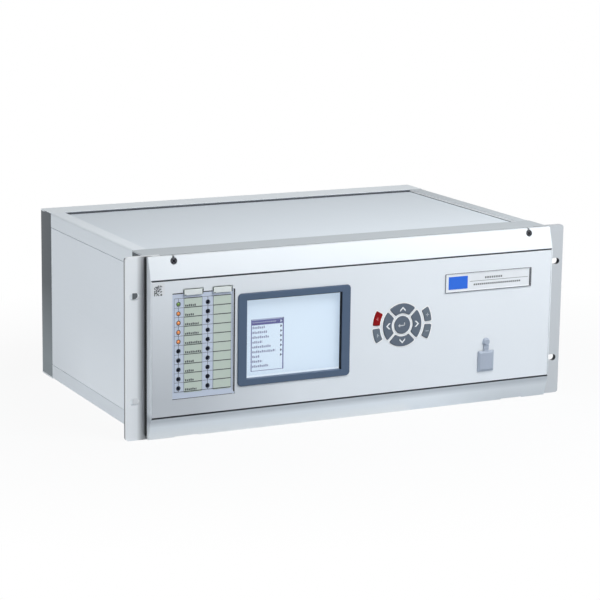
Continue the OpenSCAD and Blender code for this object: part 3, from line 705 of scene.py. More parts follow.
def raised(outline: Array, y_back: float, y_front: float, edge: float = 0.0) -> Mesh:
    """A flat form standing out of the panel: its outline carried from the back to the front.

    Args:
        outline: Points (x, z), counterclockwise seen from the front.
        y_back: Where the sides start.
        y_front: Where the front lies.
        edge: Width of a chamfer round the front.

    Returns:
        Sides, chamfer and front.
    """
    inward = outline.mean(0) - outline
    inward /= np.maximum(np.linalg.norm(inward, axis=1, keepdims=True), 1e-9)
    rings = [(outline, y_back), (outline, y_front)]
    if edge > 0:
        rings[1:] = [(outline, y_front + edge), (outline + inward * edge, y_front)]
    made = grid(carried(rings), closed=True)
    n = len(outline)
    made.faces.append(tuple(range((len(rings) - 1) * n, len(rings) * n)))
    return made


def band(outer: Array, inner: Array, y_back: float, y_front: float) -> Mesh:
    """A flat rim between two outlines of equal length, standing out of the panel.

    Args:
        outer: Outer outline (x, z), counterclockwise seen from the front.
        inner: Inner outline, point for point.
        y_back: Where its sides start.
        y_front: Where its front lies.

    Returns:
        A closed grid: outer side, front, inner side.
    """
    return grid(carried([(outer, y_back), (outer, y_front), (inner, y_front), (inner, y_back)]), closed=True)


def bars(boxes: Iterable[Sequence[float]], y_back: float, y_front: float) -> Mesh:
    """Thin rectangular fields on the panel, one for each (x0, x1, z0, z1).

    Args:
        boxes: The rectangles.
        y_back: Where the fields start.
        y_front: Where their fronts lie.

    Returns:
        One mesh with five faces to a field.
    """
    b = np.asarray(list(boxes), float)
    corners = b[:, [0, 2, 1, 2, 1, 3, 0, 3]].reshape(-1, 4, 2)
    back = np.insert(corners, 1, y_back, axis=2)
    front = np.insert(corners, 1, y_front, axis=2)
    points = np.concatenate([back, front], 1).reshape(-1, 3)
    faces = np.array([[4, 5, 6, 7], [0, 1, 5, 4], [1, 2, 6, 5], [2, 3, 7, 6], [3, 0, 4, 7]])
    all_faces = (faces[None] + 8 * np.arange(len(b))[:, None, None]).reshape(-1, 4)
    return Mesh(points, [tuple(f) for f in all_faces.tolist()])


def turned(profile: Array, centre: Sequence[float], n: int = 32) -> Mesh:
    """A form turned about a line along Y: radius and height of a profile swept round.

    Args:
        profile: Points (radius, y), from the back to the front.
        centre: x and z of the line.
        n: Steps round.

    Returns:
        The mesh, closed where the radius is 0.
    """
    t = np.linspace(0, 2 * math.pi, n, endpoint=False)
    x = centre[0] + profile[:, :1] * np.cos(t)
    z = centre[1] + profile[:, :1] * np.sin(t)
    y = np.broadcast_to(profile[:, 1:2], x.shape)
    return grid(np.stack([x, y, z], -1), closed=True)


def printed(y: float, rise: float = 0.05) -> tuple[float, float]:
    """Back and front of a print on a face at y, which stands out of it by the rise."""
    return y + PRINT_ROOT, y - rise


def build(
    name: str, mesh: Mesh, material: bpy.types.Material, body: str | None, smooth: bool = False
) -> Any:
    """Makes a finished piece that rides on a body.

    Args:
        name: The piece's name.
        mesh: Its mesh in panel millimetres.
        material: Its material.
        body: The body it rides on, or None for a piece that rides on none.
        smooth: Shades it smooth.

    Returns:
        The object.
    """
    data = bpy.data.meshes.new(name)
    data.from_pydata(metres(mesh.points).tolist(), [], mesh.faces)
    work = bmesh.new()
    work.from_mesh(data)
    bmesh.ops.remove_doubles(work, verts=work.verts, dist=1e-7)
    bmesh.ops.recalc_face_normals(work, faces=work.faces)
    work.to_mesh(data)
    work.free()
    data.materials.append(material)
    data.polygons.foreach_set("use_smooth", np.full(len(data.polygons), smooth))
    made = linked(name, data)
    if body:
        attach(made, body)
    LOG.info("piece %s: %d faces on %s", name, len(data.polygons), body)
    return made


def softened(node: str, width: float, material: bpy.types.Material) -> Any:
    """Copy of a CAD node with its doubles merged, its flat faces joined and its edges rounded.

    Args:
        node: The CAD node.
        width: Radius of the rounding, in millimetres.
        material: The copy's material.

    Returns:
        The object, named after the node with _softened, which replaces the node.
    """
    source = frame["nodes"][node]
    label = node + "_softened"
    sharp = math.radians(SHARP_EDGE)
    data = source.data.copy()
    data.name = label
    work = bmesh.new()
    work.from_mesh(data)
    bmesh.ops.remove_doubles(work, verts=work.verts, dist=1e-6)
    bmesh.ops.dissolve_limit(work, angle_limit=math.radians(0.5), verts=work.verts, edges=work.edges)
    for f in work.faces:
        f.smooth = True
    for e in work.edges:
        e.smooth = len(e.link_faces) != 2 or e.calc_face_angle(0.0) < sharp
    work.to_mesh(data)
    work.free()
    data.materials.clear()
    data.materials.append(material)
    made = linked(label, data)
    bevel = made.modifiers.new("round_edges", "BEVEL")
    bevel.width = width / 1000
    bevel.segments = 2
    bevel.limit_method = "ANGLE"
    bevel.angle_limit = sharp
    bevel.harden_normals = True
    bevel.use_clamp_overlap = True
    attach(made, source["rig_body"])
    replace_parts(made, node)
    LOG.info("piece %s stands for %s", label, node)
    return made


def dress(material: bpy.types.Material, *nodes: str) -> None:
    """Gives CAD nodes a material in place of their plain one."""
    for n in nodes:
        data = frame["nodes"][n].data
        data.materials.clear()
        data.materials.append(material)
        LOG.info("dressed %s", n)


# Sub-assemblies


@dataclass(frozen=True)
class SoftBox:
    """A square lamp: its place and aim in millimetres, its side in metres and its power in watts."""

    name: str
    place: Sequence[float]
    aim: Sequence[float]
    side: float
    power: float

    def make(self) -> None:
        """Puts the lamp into the scene."""
        data = bpy.data.lights.new(self.name, "AREA")
        data.size = self.side
        data.energy = self.power
        made = linked(self.name, data)
        a, b = Vector(metres(self.place)), Vector(metres(self.aim))
        made.matrix_world = Matrix.Translation(a) @ (b - a).to_track_quat("-Z", "Y").to_matrix().to_4x4()


@dataclass
class Studio:
    """Floor, world, lamps and the camera at the photograph's angle.

    The floor's size, its drop below the object and the distance where it starts to fade are in metres.
    """

    eye: Sequence[float] = (-971.0, -1827.7, 553.1)
    azimuth: float = -25.86
    elevation: float = 11.70
    roll: float = 0.66
    lens: float = 129.01
    shift: Sequence[float] = (0.0393, -0.0138)
    world_light: float = 0.12
    world_tone: Colour = (0.93, 0.97, 1.0)
    near_white: float = 0.93
    floor_tone: Colour = (0.60, 0.64, 0.68)
    floor_size: float = 60.0
    floor_drop: float = 0.0002
    fade_start: float = 0.32
    fade_rate: float = 3.0
    fade_stretch: float = 1.2
    lamps: Sequence[SoftBox] = (
        SoftBox("near_top_box", (160, -520, 900), (0, 0, 80), 0.5, 7.0),
        SoftBox("front_high_box", (0, -900, 1100), (0, 0, 90), 0.6, 1.8),
        SoftBox("left_low_box", (-1100, 150, 30), (-221, 150, 20), 0.8, 3.2),
        SoftBox("left_front_box", (-1000, -180, 90), (-221, 0, 90), 0.5, 0.8),
        SoftBox("right_top_box", (540, -420, 420), (130, 0, 90), 0.4, 1.05),
    )

    def camera(self) -> None:
        """Places the camera: it looks against the direction of azimuth and elevation, then rolls."""
        a, e, r = map(math.radians, (self.azimuth, self.elevation, self.roll))
        back = Vector((math.sin(a) * math.cos(e), -math.cos(a) * math.cos(e), math.sin(e)))
        right = Vector((math.cos(a), math.sin(a), 0.0))
        up = back.cross(right)
        right, up = right * math.cos(r) + up * math.sin(r), up * math.cos(r) - right * math.sin(r)
        data = bpy.data.cameras.new("photo_camera")
        data.lens = self.lens
        data.sensor_width = 36.0
        data.shift_x, data.shift_y = self.shift
        data.clip_start, data.clip_end = 0.1, 50.0
        made = linked("photo_camera", data)
        turn = Matrix((right, up, back)).transposed()
        made.matrix_world = Matrix.Translation(Vector(metres(self.eye))) @ turn.to_4x4()
        bpy.context.scene.camera = made

    def world(self) -> None:
        """Pale surroundings to the camera and to gloss, and a soft even light on everything else."""
        world = bpy.data.worlds.new("studio_world")
        bpy.context.scene.world = world
        world.use_nodes = True
        tree = world.node_tree
        tree.nodes.clear()
        output = tree.nodes.new("ShaderNodeOutputWorld")
        soft = tree.nodes.new("ShaderNodeBackground")
        soft.inputs["Strength"].default_value = self.world_light
        soft.inputs["Color"].default_value = (*self.world_tone, 1.0)
        pale = tree.nodes.new("ShaderNodeBackground")
        pale.inputs["Strength"].default_value = 1.0
        path = tree.nodes.new("ShaderNodeLightPath")
        mix = tree.nodes.new("ShaderNodeMixShader")
        seen: Any = path.outputs["Is Camera Ray"]
        for kind in ("Is Glossy Ray", "Is Transmission Ray"):
            either = tree.nodes.new("ShaderNodeMath")
            either.operation = "MAXIMUM"
            tree.links.new(seen, either.inputs[0])
            tree.links.new(path.outputs[kind], either.inputs[1])
            seen = either.outputs[0]
        for i, socket in enumerate((seen, soft.outputs[0], pale.outputs[0])):
            tree.links.new(socket, mix.inputs[i])
        tree.links.new(mix.outputs[0], output.inputs[0])

    def floor(self) -> None:
        """A pale floor that keeps the shadow near the object and fades to white away from it.

        Rays that see the floor get a white glow, mixed in by near_white near the object and fully far
        from it. The distance is the root of x squared plus the square of y times the stretch.
        """
        half = self.floor_size / 2
        corners = [(-half, -half, 0), (half, -half, 0), (half, half, 0), (-half, half, 0)]
        data = bpy.data.meshes.new("floor")
        data.from_pydata(corners, [], [(0, 1, 2, 3)])
        made = linked("floor", data)
        made.location.z = -self.floor_drop
        g = Graph("floor_white")
        x, y, _ = g.axes()
        deep = y * self.fade_stretch
        far = ((x * x + deep * deep) ** 0.5 - self.fade_start) * self.fade_rate
        rays = g.node("ShaderNodeLightPath")
        camera, glossy, through = rays[0], rays[3], rays[6]
        seen = camera.larger(glossy).larger(through)
        glow = g.node("ShaderNodeEmission", {}, {"Color": (1.0, 1.0, 1.0), "Strength": 1.0})[0]
        g.finish(Base_Color=self.floor_tone, Roughness=0.9)
        factor = (self.near_white + far.clamped() * (1 - self.near_white)) * seen
        mix = g.node("ShaderNodeMixShader", {}, {0: factor, 1: Value(g, g.shader.outputs[0]), 2: glow})[0]
        g.tree.links.new(mix.socket, g.output.inputs["Surface"])
        data.materials.append(g.material)

    def make(self) -> None:
        """Builds the whole studio."""
        self.camera()
        self.world()
        self.floor()
        for lamp in self.lamps:
            lamp.make()
        LOG.info("studio ready")


@dataclass
class Chassis:
    """The case: ears, rails, posts, plates and covers."""

    # The rails and ears are lit and shaded copies of one anodising: painted light on the pale rear and left
    # rails and the left ear, painted shade on the darker front and right rails and the right ear.
    front_rail_shaded: Colour = (0.53, 0.575, 0.61)
    rear_rail_lit: Colour = (0.885, 0.94, 0.99)
    left_rail_lit: Colour = (0.865, 0.925, 0.98)
    right_rail_shaded: Colour = (0.60, 0.65, 0.69)
    ear_left: Colour = (0.80, 0.84, 0.88)
    ear_right: Colour = (0.54, 0.575, 0.61)
    side: Colour = (0.76, 0.82, 0.88)
    cover: Colour = (0.81, 0.88, 0.945)
    post: Colour = (0.034, 0.052, 0.068)
    slots_z: Sequence[float] = (37.7, 139.3)
    # Painted light: the side plates and the left corner rails turn paler towards their foot.
    low: Recess = Recess(y=(-80.0, 200.0), z=(-60.0, 45.0), soft=90.0, depth=1.0, tone=(0.885, 0.945, 1.0))

    def ears(self) -> dict[str, Anodised]:
        """The ears' finishes: the left one with painted shadow beside the seal and painted shade at its outer
        edge, the right one with painted shade in its slots.
        """
        # Painted shadow of the panel on the left ear beside its seal, and painted shade on the ear's outer
        # edge.
        painted_door_shadow = Recess(x=(-227.6, -216.0), y=(-0.5, 0.6), soft=5.5)
        painted_edge_shade = Recess(x=(-242.2, -240.4), y=(2.4, 5.4), tone=(0.12, 0.13, 0.15))
        # Painted shade on the walls of the right ear's slots.
        slots = tuple(Recess(x=(233.4, 238.4), y=(0.5, 4.9), z=(z - 4.0, z + 4.0)) for z in self.slots_z)
        left = Anodised(
            "ear_left_anodised",
            self.ear_left,
            Grain.ALONG_Z,
            roughness=0.32,
            metallic=0.5,
            tone_boxes=(painted_door_shadow, painted_edge_shade),
        )
        right = Anodised(
            "ear_right_anodised", self.ear_right, Grain.ALONG_Z, roughness=0.32, metallic=0.5, tone_boxes=slots
        )
        return {"left": left, "right": right}

    def corner_rails(self) -> dict[str, Anodised]:
        """The corner rails' finishes: the left one with painted light at its foot, both with a line of
        painted shade in their channel, the right one with painted light on its wall above that line.
        """
        # Painted shade as dark lines on the channel walls, and painted light on the right rail's wall above
        # its line.
        left_channel_shade = Recess(x=(-206.1, 0.0), z=(173.5, 175.2), tone=(0.09, 0.10, 0.12))
        right_channel_shade = Recess(x=(205.7, 206.15), z=(174.2, 175.0), tone=(0.22, 0.24, 0.26))
        right_wall_painted_light = Recess(x=(205.7, 206.15), z=(175.0, 176.8), tone=(1.0, 1.0, 1.0))
        left = Anodised(
            "left_rail_anodised",
            self.left_rail_lit,
            Grain.ALONG_Y,
            roughness=0.6,
            metallic=0.3,
            tone_boxes=(self.low, left_channel_shade),
        )
        right = Anodised(
            "right_rail_anodised",
            self.right_rail_shaded,
            Grain.ALONG_Y,
            roughness=0.6,
            metallic=0.25,
            tone_boxes=(right_wall_painted_light, right_channel_shade),
        )
        return {"left": left, "right": right}

    def make(self) -> None:
        """Rounds and dresses the pieces that show."""
        # Painted shade: a dark line on the rear rails' wall beside the top cover.
        wall = Recess(y=(250.0, 279.3), z=(173.5, 176.7), tone=(0.09, 0.10, 0.12))
        # Painted light: the rear posts turn paler towards their foot.
        foot = Recess(z=(-60.0, 60.0), soft=80.0, tone=(0.23, 0.28, 0.31))
        # The front posts turn from dark to pale below about z 62.
        pale_lower_part = Recess(z=(-60.0, 62.0), soft=60.0, tone=(0.80, 0.84, 0.88))
        rear = Anodised(
            "rear_rail_anodised", self.rear_rail_lit, Grain.ALONG_X, roughness=0.6, metallic=0.3, tone_boxes=(wall,)
        ).make()
        front = Anodised(
            "front_rail_anodised", self.front_rail_shaded, Grain.ALONG_X, roughness=0.6, metallic=0.25
        ).make()
        corners = {s: finish.make() for s, finish in self.corner_rails().items()}
        post = Anodised(
            "post_dark", self.post, Grain.ALONG_Z, roughness=0.42, metallic=0.3, tone_boxes=(foot,)
        ).make()
        front_post = Anodised(
            "front_post_dark", self.post, Grain.ALONG_Z, roughness=0.42, metallic=0.3, tone_boxes=(pale_lower_part,)
        ).make()
        side = Anodised(
            "side_plate_anodised", self.side, Grain.ALONG_Y, roughness=0.42, tone_boxes=(self.low,)
        ).make()
        cover = Anodised("cover_anodised", self.cover, Grain.ALONG_Y, roughness=0.6, metallic=0.12).make()
        for s, ear in self.ears().items():
            softened("ear_" + s, 0.5, ear.make())
            softened("front_post_" + s, 0.5, front_post)
            softened("rear_post_" + s, 0.5, post)
            softened("side_plate_" + s, 0.3, side)
            for t in ("top", "bottom"):
                softened(f"corner_rail_{t}_{s}", 0.4, corners[s])
        for t in ("top", "bottom"):
            softened(f"front_{t}_rail", 0.4, front)
            softened(f"rear_{t}_rail", 0.4, rear)
        softened("top_cover", 0.3, cover)
        dress(cover, "bottom_cover")
        dress(Plated("zinc_screw", (0.62, 0.64, 0.66)).make(), "case_screws", "module_screws", "hinge_pins")


@dataclass
class RearModules:
    """What shows at the back: plates, terminals, sockets and the earth stud."""

    def make(self) -> None:
        """Dresses the modules and what holds them."""
        dark = ModuleFinish("module_black_terminals", (0.035, 0.04, 0.042)).make()
        green = ModuleFinish("module_green_terminals", (0.03, 0.20, 0.09)).make()
        dress(green, "output_module_1", "output_module_2", "input_module_1", "input_module_2", "power_module")
        dress(dark, "analog_module", "fibre_module", "processor_module")
        blank = Anodised("blank_plate_chromated", (0.63, 0.66, 0.69), Grain.ALONG_X, roughness=0.4).make()
        dress(blank, "blank_plate")
        dress(Plated("stud_brass", (0.80, 0.62, 0.30)).make(), "earth_stud")
        dress(CircuitBoard("backplane_board").make(), "backplane")


@dataclass
class PanelCase:
    """The hinged panel's frame, face plate, seal, screws and inner board."""

    frame_tone: Colour = (0.87, 0.92, 0.965)
    plate_tone: Colour = (0.80, 0.845, 0.89)
    inner_x: Sequence[float] = (-220.7, 220.7)
    lips_z: Sequence[Sequence[float]] = ((21.6, 22.3), (155.1, 155.7))
    screws_x: Sequence[float] = (-195.5, 195.5)

    def frame_shade_and_light(self) -> tuple[Recess, ...]:
        """Painted shade and painted light on the frame: soft ones on its low band, then painted shade on the
        groove lips, in the groove and in a slot above each screw.
        """
        # Painted shade: the right part of the low band darker.
        painted_shade_heel = Recess(x=(130.0, 500.0), z=(-60.0, 19.0), soft=80.0, depth=1.0, tone=(0.58, 0.615, 0.645))
        # Painted shadow under the lower groove.
        under = Recess(z=(16.0, 24.5), soft=6.0, depth=0.6, tone=(0.36, 0.40, 0.44))
        # Painted light: the left part of the low band's foot paler.
        foot = Recess(x=(-400.0, 60.0), z=(-12.0, 5.0), soft=14.0, tone=(0.98, 1.0, 1.0))
        # Painted shade along the lips of both grooves.
        lips = [Recess(self.inner_x, (-12.2, -11.0), z, tone=(0.045, 0.058, 0.075)) for z in self.lips_z]
        # Painted shade inside the groove round the face plate.
        groove = Recess(self.inner_x, (-11.6, -2.5), (22.1, 155.3))
        # Painted shade above each captive screw: the real pocket there is shallow, and the dark stands for
        # its shadowed wall.
        painted_slot_shades = [
            Recess((x - 0.9, x + 0.9), (-7.5, -1.8), (172.0, 178.0), depth=0.85, tone=(0.08, 0.09, 0.10))
            for x in self.screws_x
        ]
        return (painted_shade_heel, under, foot, *lips, groove, *painted_slot_shades)

    def make(self) -> None:
        """Rounds and dresses the panel's own pieces."""
        coat = Coated(
            "panel_frame_coat", self.frame_tone, roughness=0.38, tone_boxes=self.frame_shade_and_light()
        ).make()
        # Painted shade: the face plate turns darker towards its low left.
        painted_shade_low_left = Recess(x=(-400.0, -120.0), z=(-60.0, 95.0), soft=110.0, depth=1.0, tone=(0.565, 0.60, 0.64))
        # Painted shade on the face plate's edges inside both grooves.
        lower, upper = (Recess(y=(-11.6, -9.0), z=z) for z in ((20.0, 23.5), (153.9, 158.0)))
        face = Coated("face_plate_coat", self.plate_tone, roughness=0.36, tone_boxes=(painted_shade_low_left, lower, upper)).make()
        softened("door_frame", 0.5, coat)
        softened("face_plate", 0.25, face)
        dress(Moulded("seal_black", (0.012, 0.014, 0.017), roughness=0.6).make(), "door_gasket")
        # Painted shade: the captive screws turn near black between y -6.9 and -4.0, down in their pockets.
        slot = Recess(y=(-6.9, -4.0), z=(168.0, 176.0), tone=(0.01, 0.011, 0.013))
        steel = Plated("captive_screw_steel", (0.11, 0.115, 0.13), roughness=0.3, tone_boxes=(slot,)).make()
        softened("captive_screw_left", 0.2, steel)
        softened("captive_screw_right", 0.2, steel)
        dress(CircuitBoard("panel_board_lacquer").make(), "panel_board")
        dress(Moulded("key_mat_rubber", (0.30, 0.33, 0.36), roughness=0.6).make(), "key_mat")
        white = Moulded("nameplate_white", (0.82, 0.85, 0.885), roughness=0.35, grain=0.05).make()
        softened("nameplate", 0.15, white)


@dataclass(frozen=True)
class Words:
    """Plain dashes in place of a row of words, whose height changes along the row by a sine."""

    step: float
    length: float
    foot: float
    top: float
    swing: float
    wave: float
    turn: float

    def row(self, x: float, width: float, z: float, k: int) -> list[tuple[float, ...]]:
        """The dashes of one row.

        Args:
            x: Where the row starts.
            width: Its width.
            z: Its height on the panel.
            k: Its number, which shifts the sine.

        Returns:
            A field (x0, x1, z0, z1) for each dash. The one at s reaches from z + foot to
            z + top + swing sin(wave s + turn k).
        """
        starts = np.arange(x, x + width, self.step)
        tall = self.top + self.swing * np.sin(self.wave * starts + self.turn * k)
        return [(a, min(a + self.length, x + width), z + self.foot, z + t) for a, t in zip(starts, tall)]


@dataclass
class Display:
    """Bezel, window and screen, with a plain menu of bars."""

    middle: Sequence[float] = (-71.1, 91.0)
    window: Sequence[float] = (51.15, 38.9)
    # Width and y span of the painted shade bars in the window
    window_shade_width: float = 0.2
    window_shade_y: Sequence[float] = (-8.3, -12.7)
    screen_y: float = -5.9
    menu_x: Sequence[float] = (-114.6, -79.6)
    menu_z: Sequence[float] = (57.2, 108.4)
    lines: Sequence[float] = (0.5, 0.9, 1.2)
    title_drop: Sequence[float] = (5.8, 0.9)
    first_row: float = 8.4
    first_head: float = 3.3
    indent: float = 1.6
    row_pitch: float = 4.76
    row_widths: Sequence[float] = (13.0, 15.5, 17.5, 10.5, 20.0, 24.5, 8.0, 10.5, 17.0)
    words: Words = Words(step=2.0, length=1.4, foot=-1.0, top=1.1, swing=0.35, wave=2.1, turn=1.0)
    arrows: int = 7

    def bezel(self) -> None:
        """Rounds and dresses the bezel, and paints shade in its window: matt black on the side walls and
        along the top above the sill.
        """
        (x, z), (half_x, half_z), thin = self.middle, self.window, self.window_shade_width
        # Painted shade: black bars on the window's left and right walls and along its top edge.
        walls = [
            (x - half_x, x - half_x + thin, z - half_z, z + half_z),
            (x + half_x - thin, x + half_x, z - half_z, z + half_z),
            (x - half_x, x + half_x, z + half_z - 3 * thin, z + half_z),
        ]
        black = Moulded("window_shade_black", (0.004, 0.007, 0.012), roughness=0.7, specular=0.15).make()
        build("window_shade_bars", bars(walls, *self.window_shade_y), black, "door")
        slate = Moulded("bezel_slate", (0.072, 0.115, 0.190), roughness=0.4, specular=0.4).make()
        softened("display_bezel", 0.6, slate)
        dress(ClearWindow().make(), "display_glass")
        dress(Screen().make(), "display_module")

    def head(self, k: int, y_back: float, y_front: float) -> Mesh:
        """Small arrowhead at the right end of row k, where row 0 is the title."""
        x = self.menu_x[1]
        z = self.menu_z[1] - self.first_head - k * self.row_pitch - (0.35 if k else 0.0)
        return raised(np.array([[x - 3.7, z - 1.4], [x - 1.5, z], [x - 3.7, z + 1.4]]), y_back, y_front)

    def menu(self) -> None:
        """Builds the menu on the screen: border, title field, broken dashes for rows and small arrowheads."""
        y = self.screen_y
        (x0, x1), (z0, z1) = self.menu_x, self.menu_z
        thin, left, right = self.lines
        border = [(x0, x1, z1 - thin, z1), (x0, x1, z0, z0 + thin)]
        border += [(x0, x0 + left, z0, z1), (x1 - right, x1, z0, z1)]
        title = (x0 + 1.0, x1 - 0.5, *(z1 - drop for drop in self.title_drop))
        dashes: list[tuple[float, ...]] = []
        for k, width in enumerate(self.row_widths):
            z = z1 - self.first_row - k * self.row_pitch
            dashes += self.words.row(x0 + self.indent, width, z, k)
        light = [(a, a + 1.5, z1 - 3.5, z1 - 3.0) for a in np.arange(x0 + 1.8, x1 - 8.0, 2.1)]
        heads = sum((self.head(k, y, y - 0.055) for k in range(1, self.arrows + 1)), Mesh())
        marks = bars(light, y - 0.05, y - 0.09) + self.head(0, y - 0.05, y - 0.09)
        violet = Ink("menu_violet", (0.065, 0.065, 0.30)).make()
        soft = Ink("menu_text", (0.26, 0.29, 0.46)).make()
        pale = Ink("menu_pale", (0.62, 0.68, 0.85)).make()
        navy = Ink("menu_navy", (0.022, 0.022, 0.09)).make()
        build("menu_border", bars([*border, title], y, y - 0.05), violet, "door")
        build("menu_heads", heads, navy, "door")
        build("menu_rows", bars(dashes, y, y - 0.04), soft, "door")
        build("menu_title_marks", marks, pale, "door")

    def make(self) -> None:
        """Dresses the bezel and window, and builds the menu."""
        self.bezel()
        self.menu()


@dataclass
class LightPanel:
    """Label panel with its film, cards and twenty lights."""

    film_y: float = -11.3
    card_y: float = -11.6
    pull_y: float = -13.35
    strip_x: Sequence[Sequence[float]] = ((-186.8, -168.5), (-156.6, -138.3))
    light_x: Sequence[float] = (-192.6, -162.4)
    top_z: float = MID_Z + 42.6
    pitch: float = 9.05
    count: int = 10
    row_lift: float = 0.95
    panel_x: Sequence[float] = (-199.0, -134.2)
    panel_z: Sequence[float] = (MID_Z - 49.5, MID_Z + 53.4)
    field_x: Sequence[float] = (-196.9, -136.6)
    name_widths: Sequence[float] = (11.0, 9.0, 14.0, 14.0, 16.8, 16.8, 9.4, 9.4, 9.4, 12.0)
    words: Words = Words(step=1.9, length=1.35, foot=-2.65, top=-0.75, swing=0.25, wave=2.3, turn=1.7)
    film_tone: Colour = (0.59, 0.66, 0.79)
    lens_radius: float = 1.8
    lens_rise: float = 1.6
    lens_y: Sequence[float] = (-5.0, -10.2)
    # Outer and inner radii of the painted shade ring round each light
    hole_shade_radii: Sequence[float] = (2.3, 1.82)
    row_half: float = 0.4
    cell_half: float = 0.2
    edge_half: float = 0.15
    tick_half: float = 0.25
    tick_gap: float = 1.9

    def places(self) -> list[Array]:
        """Place (x, z) of each light, down the left column and then down the right one."""
        return [np.array([x, self.top_z - k * self.pitch]) for x in self.light_x for k in range(self.count)]

    def lens(self, place: Array) -> Mesh:
        """A domed lens with a straight foot: a quarter of an ellipse turned about the light's line."""
        t = np.linspace(0, math.pi / 2, 7)
        foot, start = self.lens_y
        dome = np.stack([self.lens_radius * np.cos(t), start - self.lens_rise * np.sin(t)], 1)
        return turned(np.vstack([[[self.lens_radius, foot]], dome]), place, 20)

    def lights(self) -> None:
        """Builds the lenses: one green and four amber ones lit, the rest dark."""
        places = self.places()
        dark = Lens("lens_dark", (0.004, 0.008, 0.022), roughness=0.5, coat=0.0, specular=0.12)
        groups = {
            "light_green": (places[:1], Lens("lens_green", (0.12, 0.24, 0.035), glow=0.33)),
            "lights_amber": (places[1:5], Lens("lens_amber", (0.70, 0.23, 0.06), glow=0.42)),
            "lights_dark": (places[5:], dark),
        }
        for name, (spots, finish) in groups.items():
            mesh = sum((self.lens(p) for p in spots), Mesh())
            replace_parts(build(name, mesh, finish.make(), "door", smooth=True), "status_lights")

    def hole_shades(self) -> None:
        """Builds painted shade as a dark ring on the film round each light."""
        rings = Mesh()
        for place in self.places():
            outer, inner = (place + r * circle(24) for r in self.hole_shade_radii)
            rings = rings + band(outer, inner, *printed(self.film_y, 0.06))
        build("light_hole_shades", rings, Ink("hole_shade_ink", (0.03, 0.036, 0.05)).make(), "door")

    def printing(self) -> None:
        """Builds row lines, ticks, borders, plain dashes for the light names, and painted shade as black bars
        at the film's right edge, foot and top.
        """
        dark = Ink("panel_line_ink", (0.040, 0.048, 0.056)).make()
        grey = Ink("panel_tick_ink", (0.16, 0.19, 0.24)).make()
        black = Ink("panel_edge_shade", (0.030, 0.026, 0.030)).make()
        text = Ink("panel_text_ink", (0.085, 0.098, 0.105)).make()
        film = Moulded("film_head_lavender", self.film_tone, roughness=0.35, grain=0.05).make()
        pale = Moulded("film_edge_pale", (0.74, 0.80, 0.90), roughness=0.35, grain=0.05).make()
        first = self.top_z + self.pitch / 2 + self.row_lift
        left, right = self.field_x
        (s0, s1), (t0, t1) = self.strip_x
        levels = [first - k * self.pitch for k in range(self.count + 1)]
        low = levels[-1]
        row, cell, edge, tick = self.row_half, self.cell_half, self.edge_half, self.tick_half
        rows = [(a, b, z - row, z + row) for z in levels for a, b in self.strip_x]
        cells = [(a, b, z - cell, z + cell) for z in levels for a, b in ((left, s0), (s1, t0))]
        ticks, dashes = [], []
        for k, width in enumerate(self.name_widths):
            z, bottom = self.top_z - k * self.pitch, levels[k + 1]
            for part in ((z + self.tick_gap, bottom + self.pitch), (bottom, z - self.tick_gap)):
                ticks += [(x - tick, x + tick, *part) for x in self.light_x]
            dashes += self.words.row(s0 + 0.9, width, z, k)
        borders = [(left - cell, left + cell, low, first), (left, t0, low - cell, low + cell)]
        sides = [x for a, b in self.strip_x for x in (a - 2 * edge, b + 2 * edge)]
        borders += [(x - edge, x + edge, low, first) for x in sides]
        borders += [(right - tick, right + tick, low - 3.0, 140.8)]
        x0, x1 = self.panel_x
        z0, z1 = self.panel_z
        # Painted shade: black bars along the film's right edge, its foot and its top between the card heads.
        edges = [(x1 - 1.5, x1 + 0.25, z0 + 2.2, z1 + 2.2), (x0 + 0.1, x1 - 2.6, z0 + 0.1, z0 + 0.55)]
        edges += [(a, b, z1 - 1.05, z1 - 0.1) for a, b in ((x0 + 0.3, s0 - 1.3), (s1 + 1.3, t0 - 1.3))]
        heads = [(a - 0.9, b + 0.9, first + 0.3, z1 - 0.1) for a, b in self.strip_x]
        side = [(right + 0.4, x1 - 1.5, z0 + 2.2, z1 - 1.2)]
        card, face = self.card_y, self.film_y
        build("film_heads", bars(heads, card + 0.2, card - 0.05), film, "door")
        build("card_rows", bars(rows, *printed(card, 0.06)), dark, "door")
        build("card_dashes", bars(dashes, *printed(card)), text, "door")
        build("film_cells", bars(cells + ticks + borders, *printed(face)), grey, "door")
        build("film_side", bars(side, *printed(face, 0.04)), pale, "door")
        build("film_edge_shade", bars(edges, *printed(face, 0.06)), black, "door")

    def tabs(self) -> None:
        """Builds the pale pull of each card, with painted shade as a dark line on its right and below it."""
        pale = Moulded("card_pull_pale", (0.81, 0.86, 0.85), roughness=0.4, grain=0.05).make()
        black = Ink("card_pull_shade", (0.035, 0.04, 0.04)).make()
        pulls, lines = Mesh(), []
        z, y = self.panel_z[1], self.pull_y
        for a, b in self.strip_x:
            outline = rounded((a - 0.6, b + 0.4), (z - 2.3, z + 3.2), 1.0, 4)
            pulls = pulls + raised(outline, self.card_y, y, 0.35)
            # Painted shade: a dark line down the pull's right side and one below its left end.
            lines += [(b - 0.45, b + 0.3, z - 2.0, z + 2.7), (a - 0.5, a + 1.4, z - 2.2, z - 1.7)]
        build("card_pulls", pulls, pale, "door")
        build("card_pull_shade_bars", bars(lines, y + 0.05, y - 0.05), black, "door")

    def make(self) -> None:
        """Dresses the film and cards, and builds the lights and the printing."""
        dress(Moulded("film_lavender", self.film_tone, roughness=0.35, grain=0.05).make(), "light_overlay")
        softened("label_strips", 0.12, Ink("card_green", (0.57, 0.655, 0.585), roughness=0.55).make())
        self.lights()
        self.hole_shades()
        self.printing()
        self.tabs()


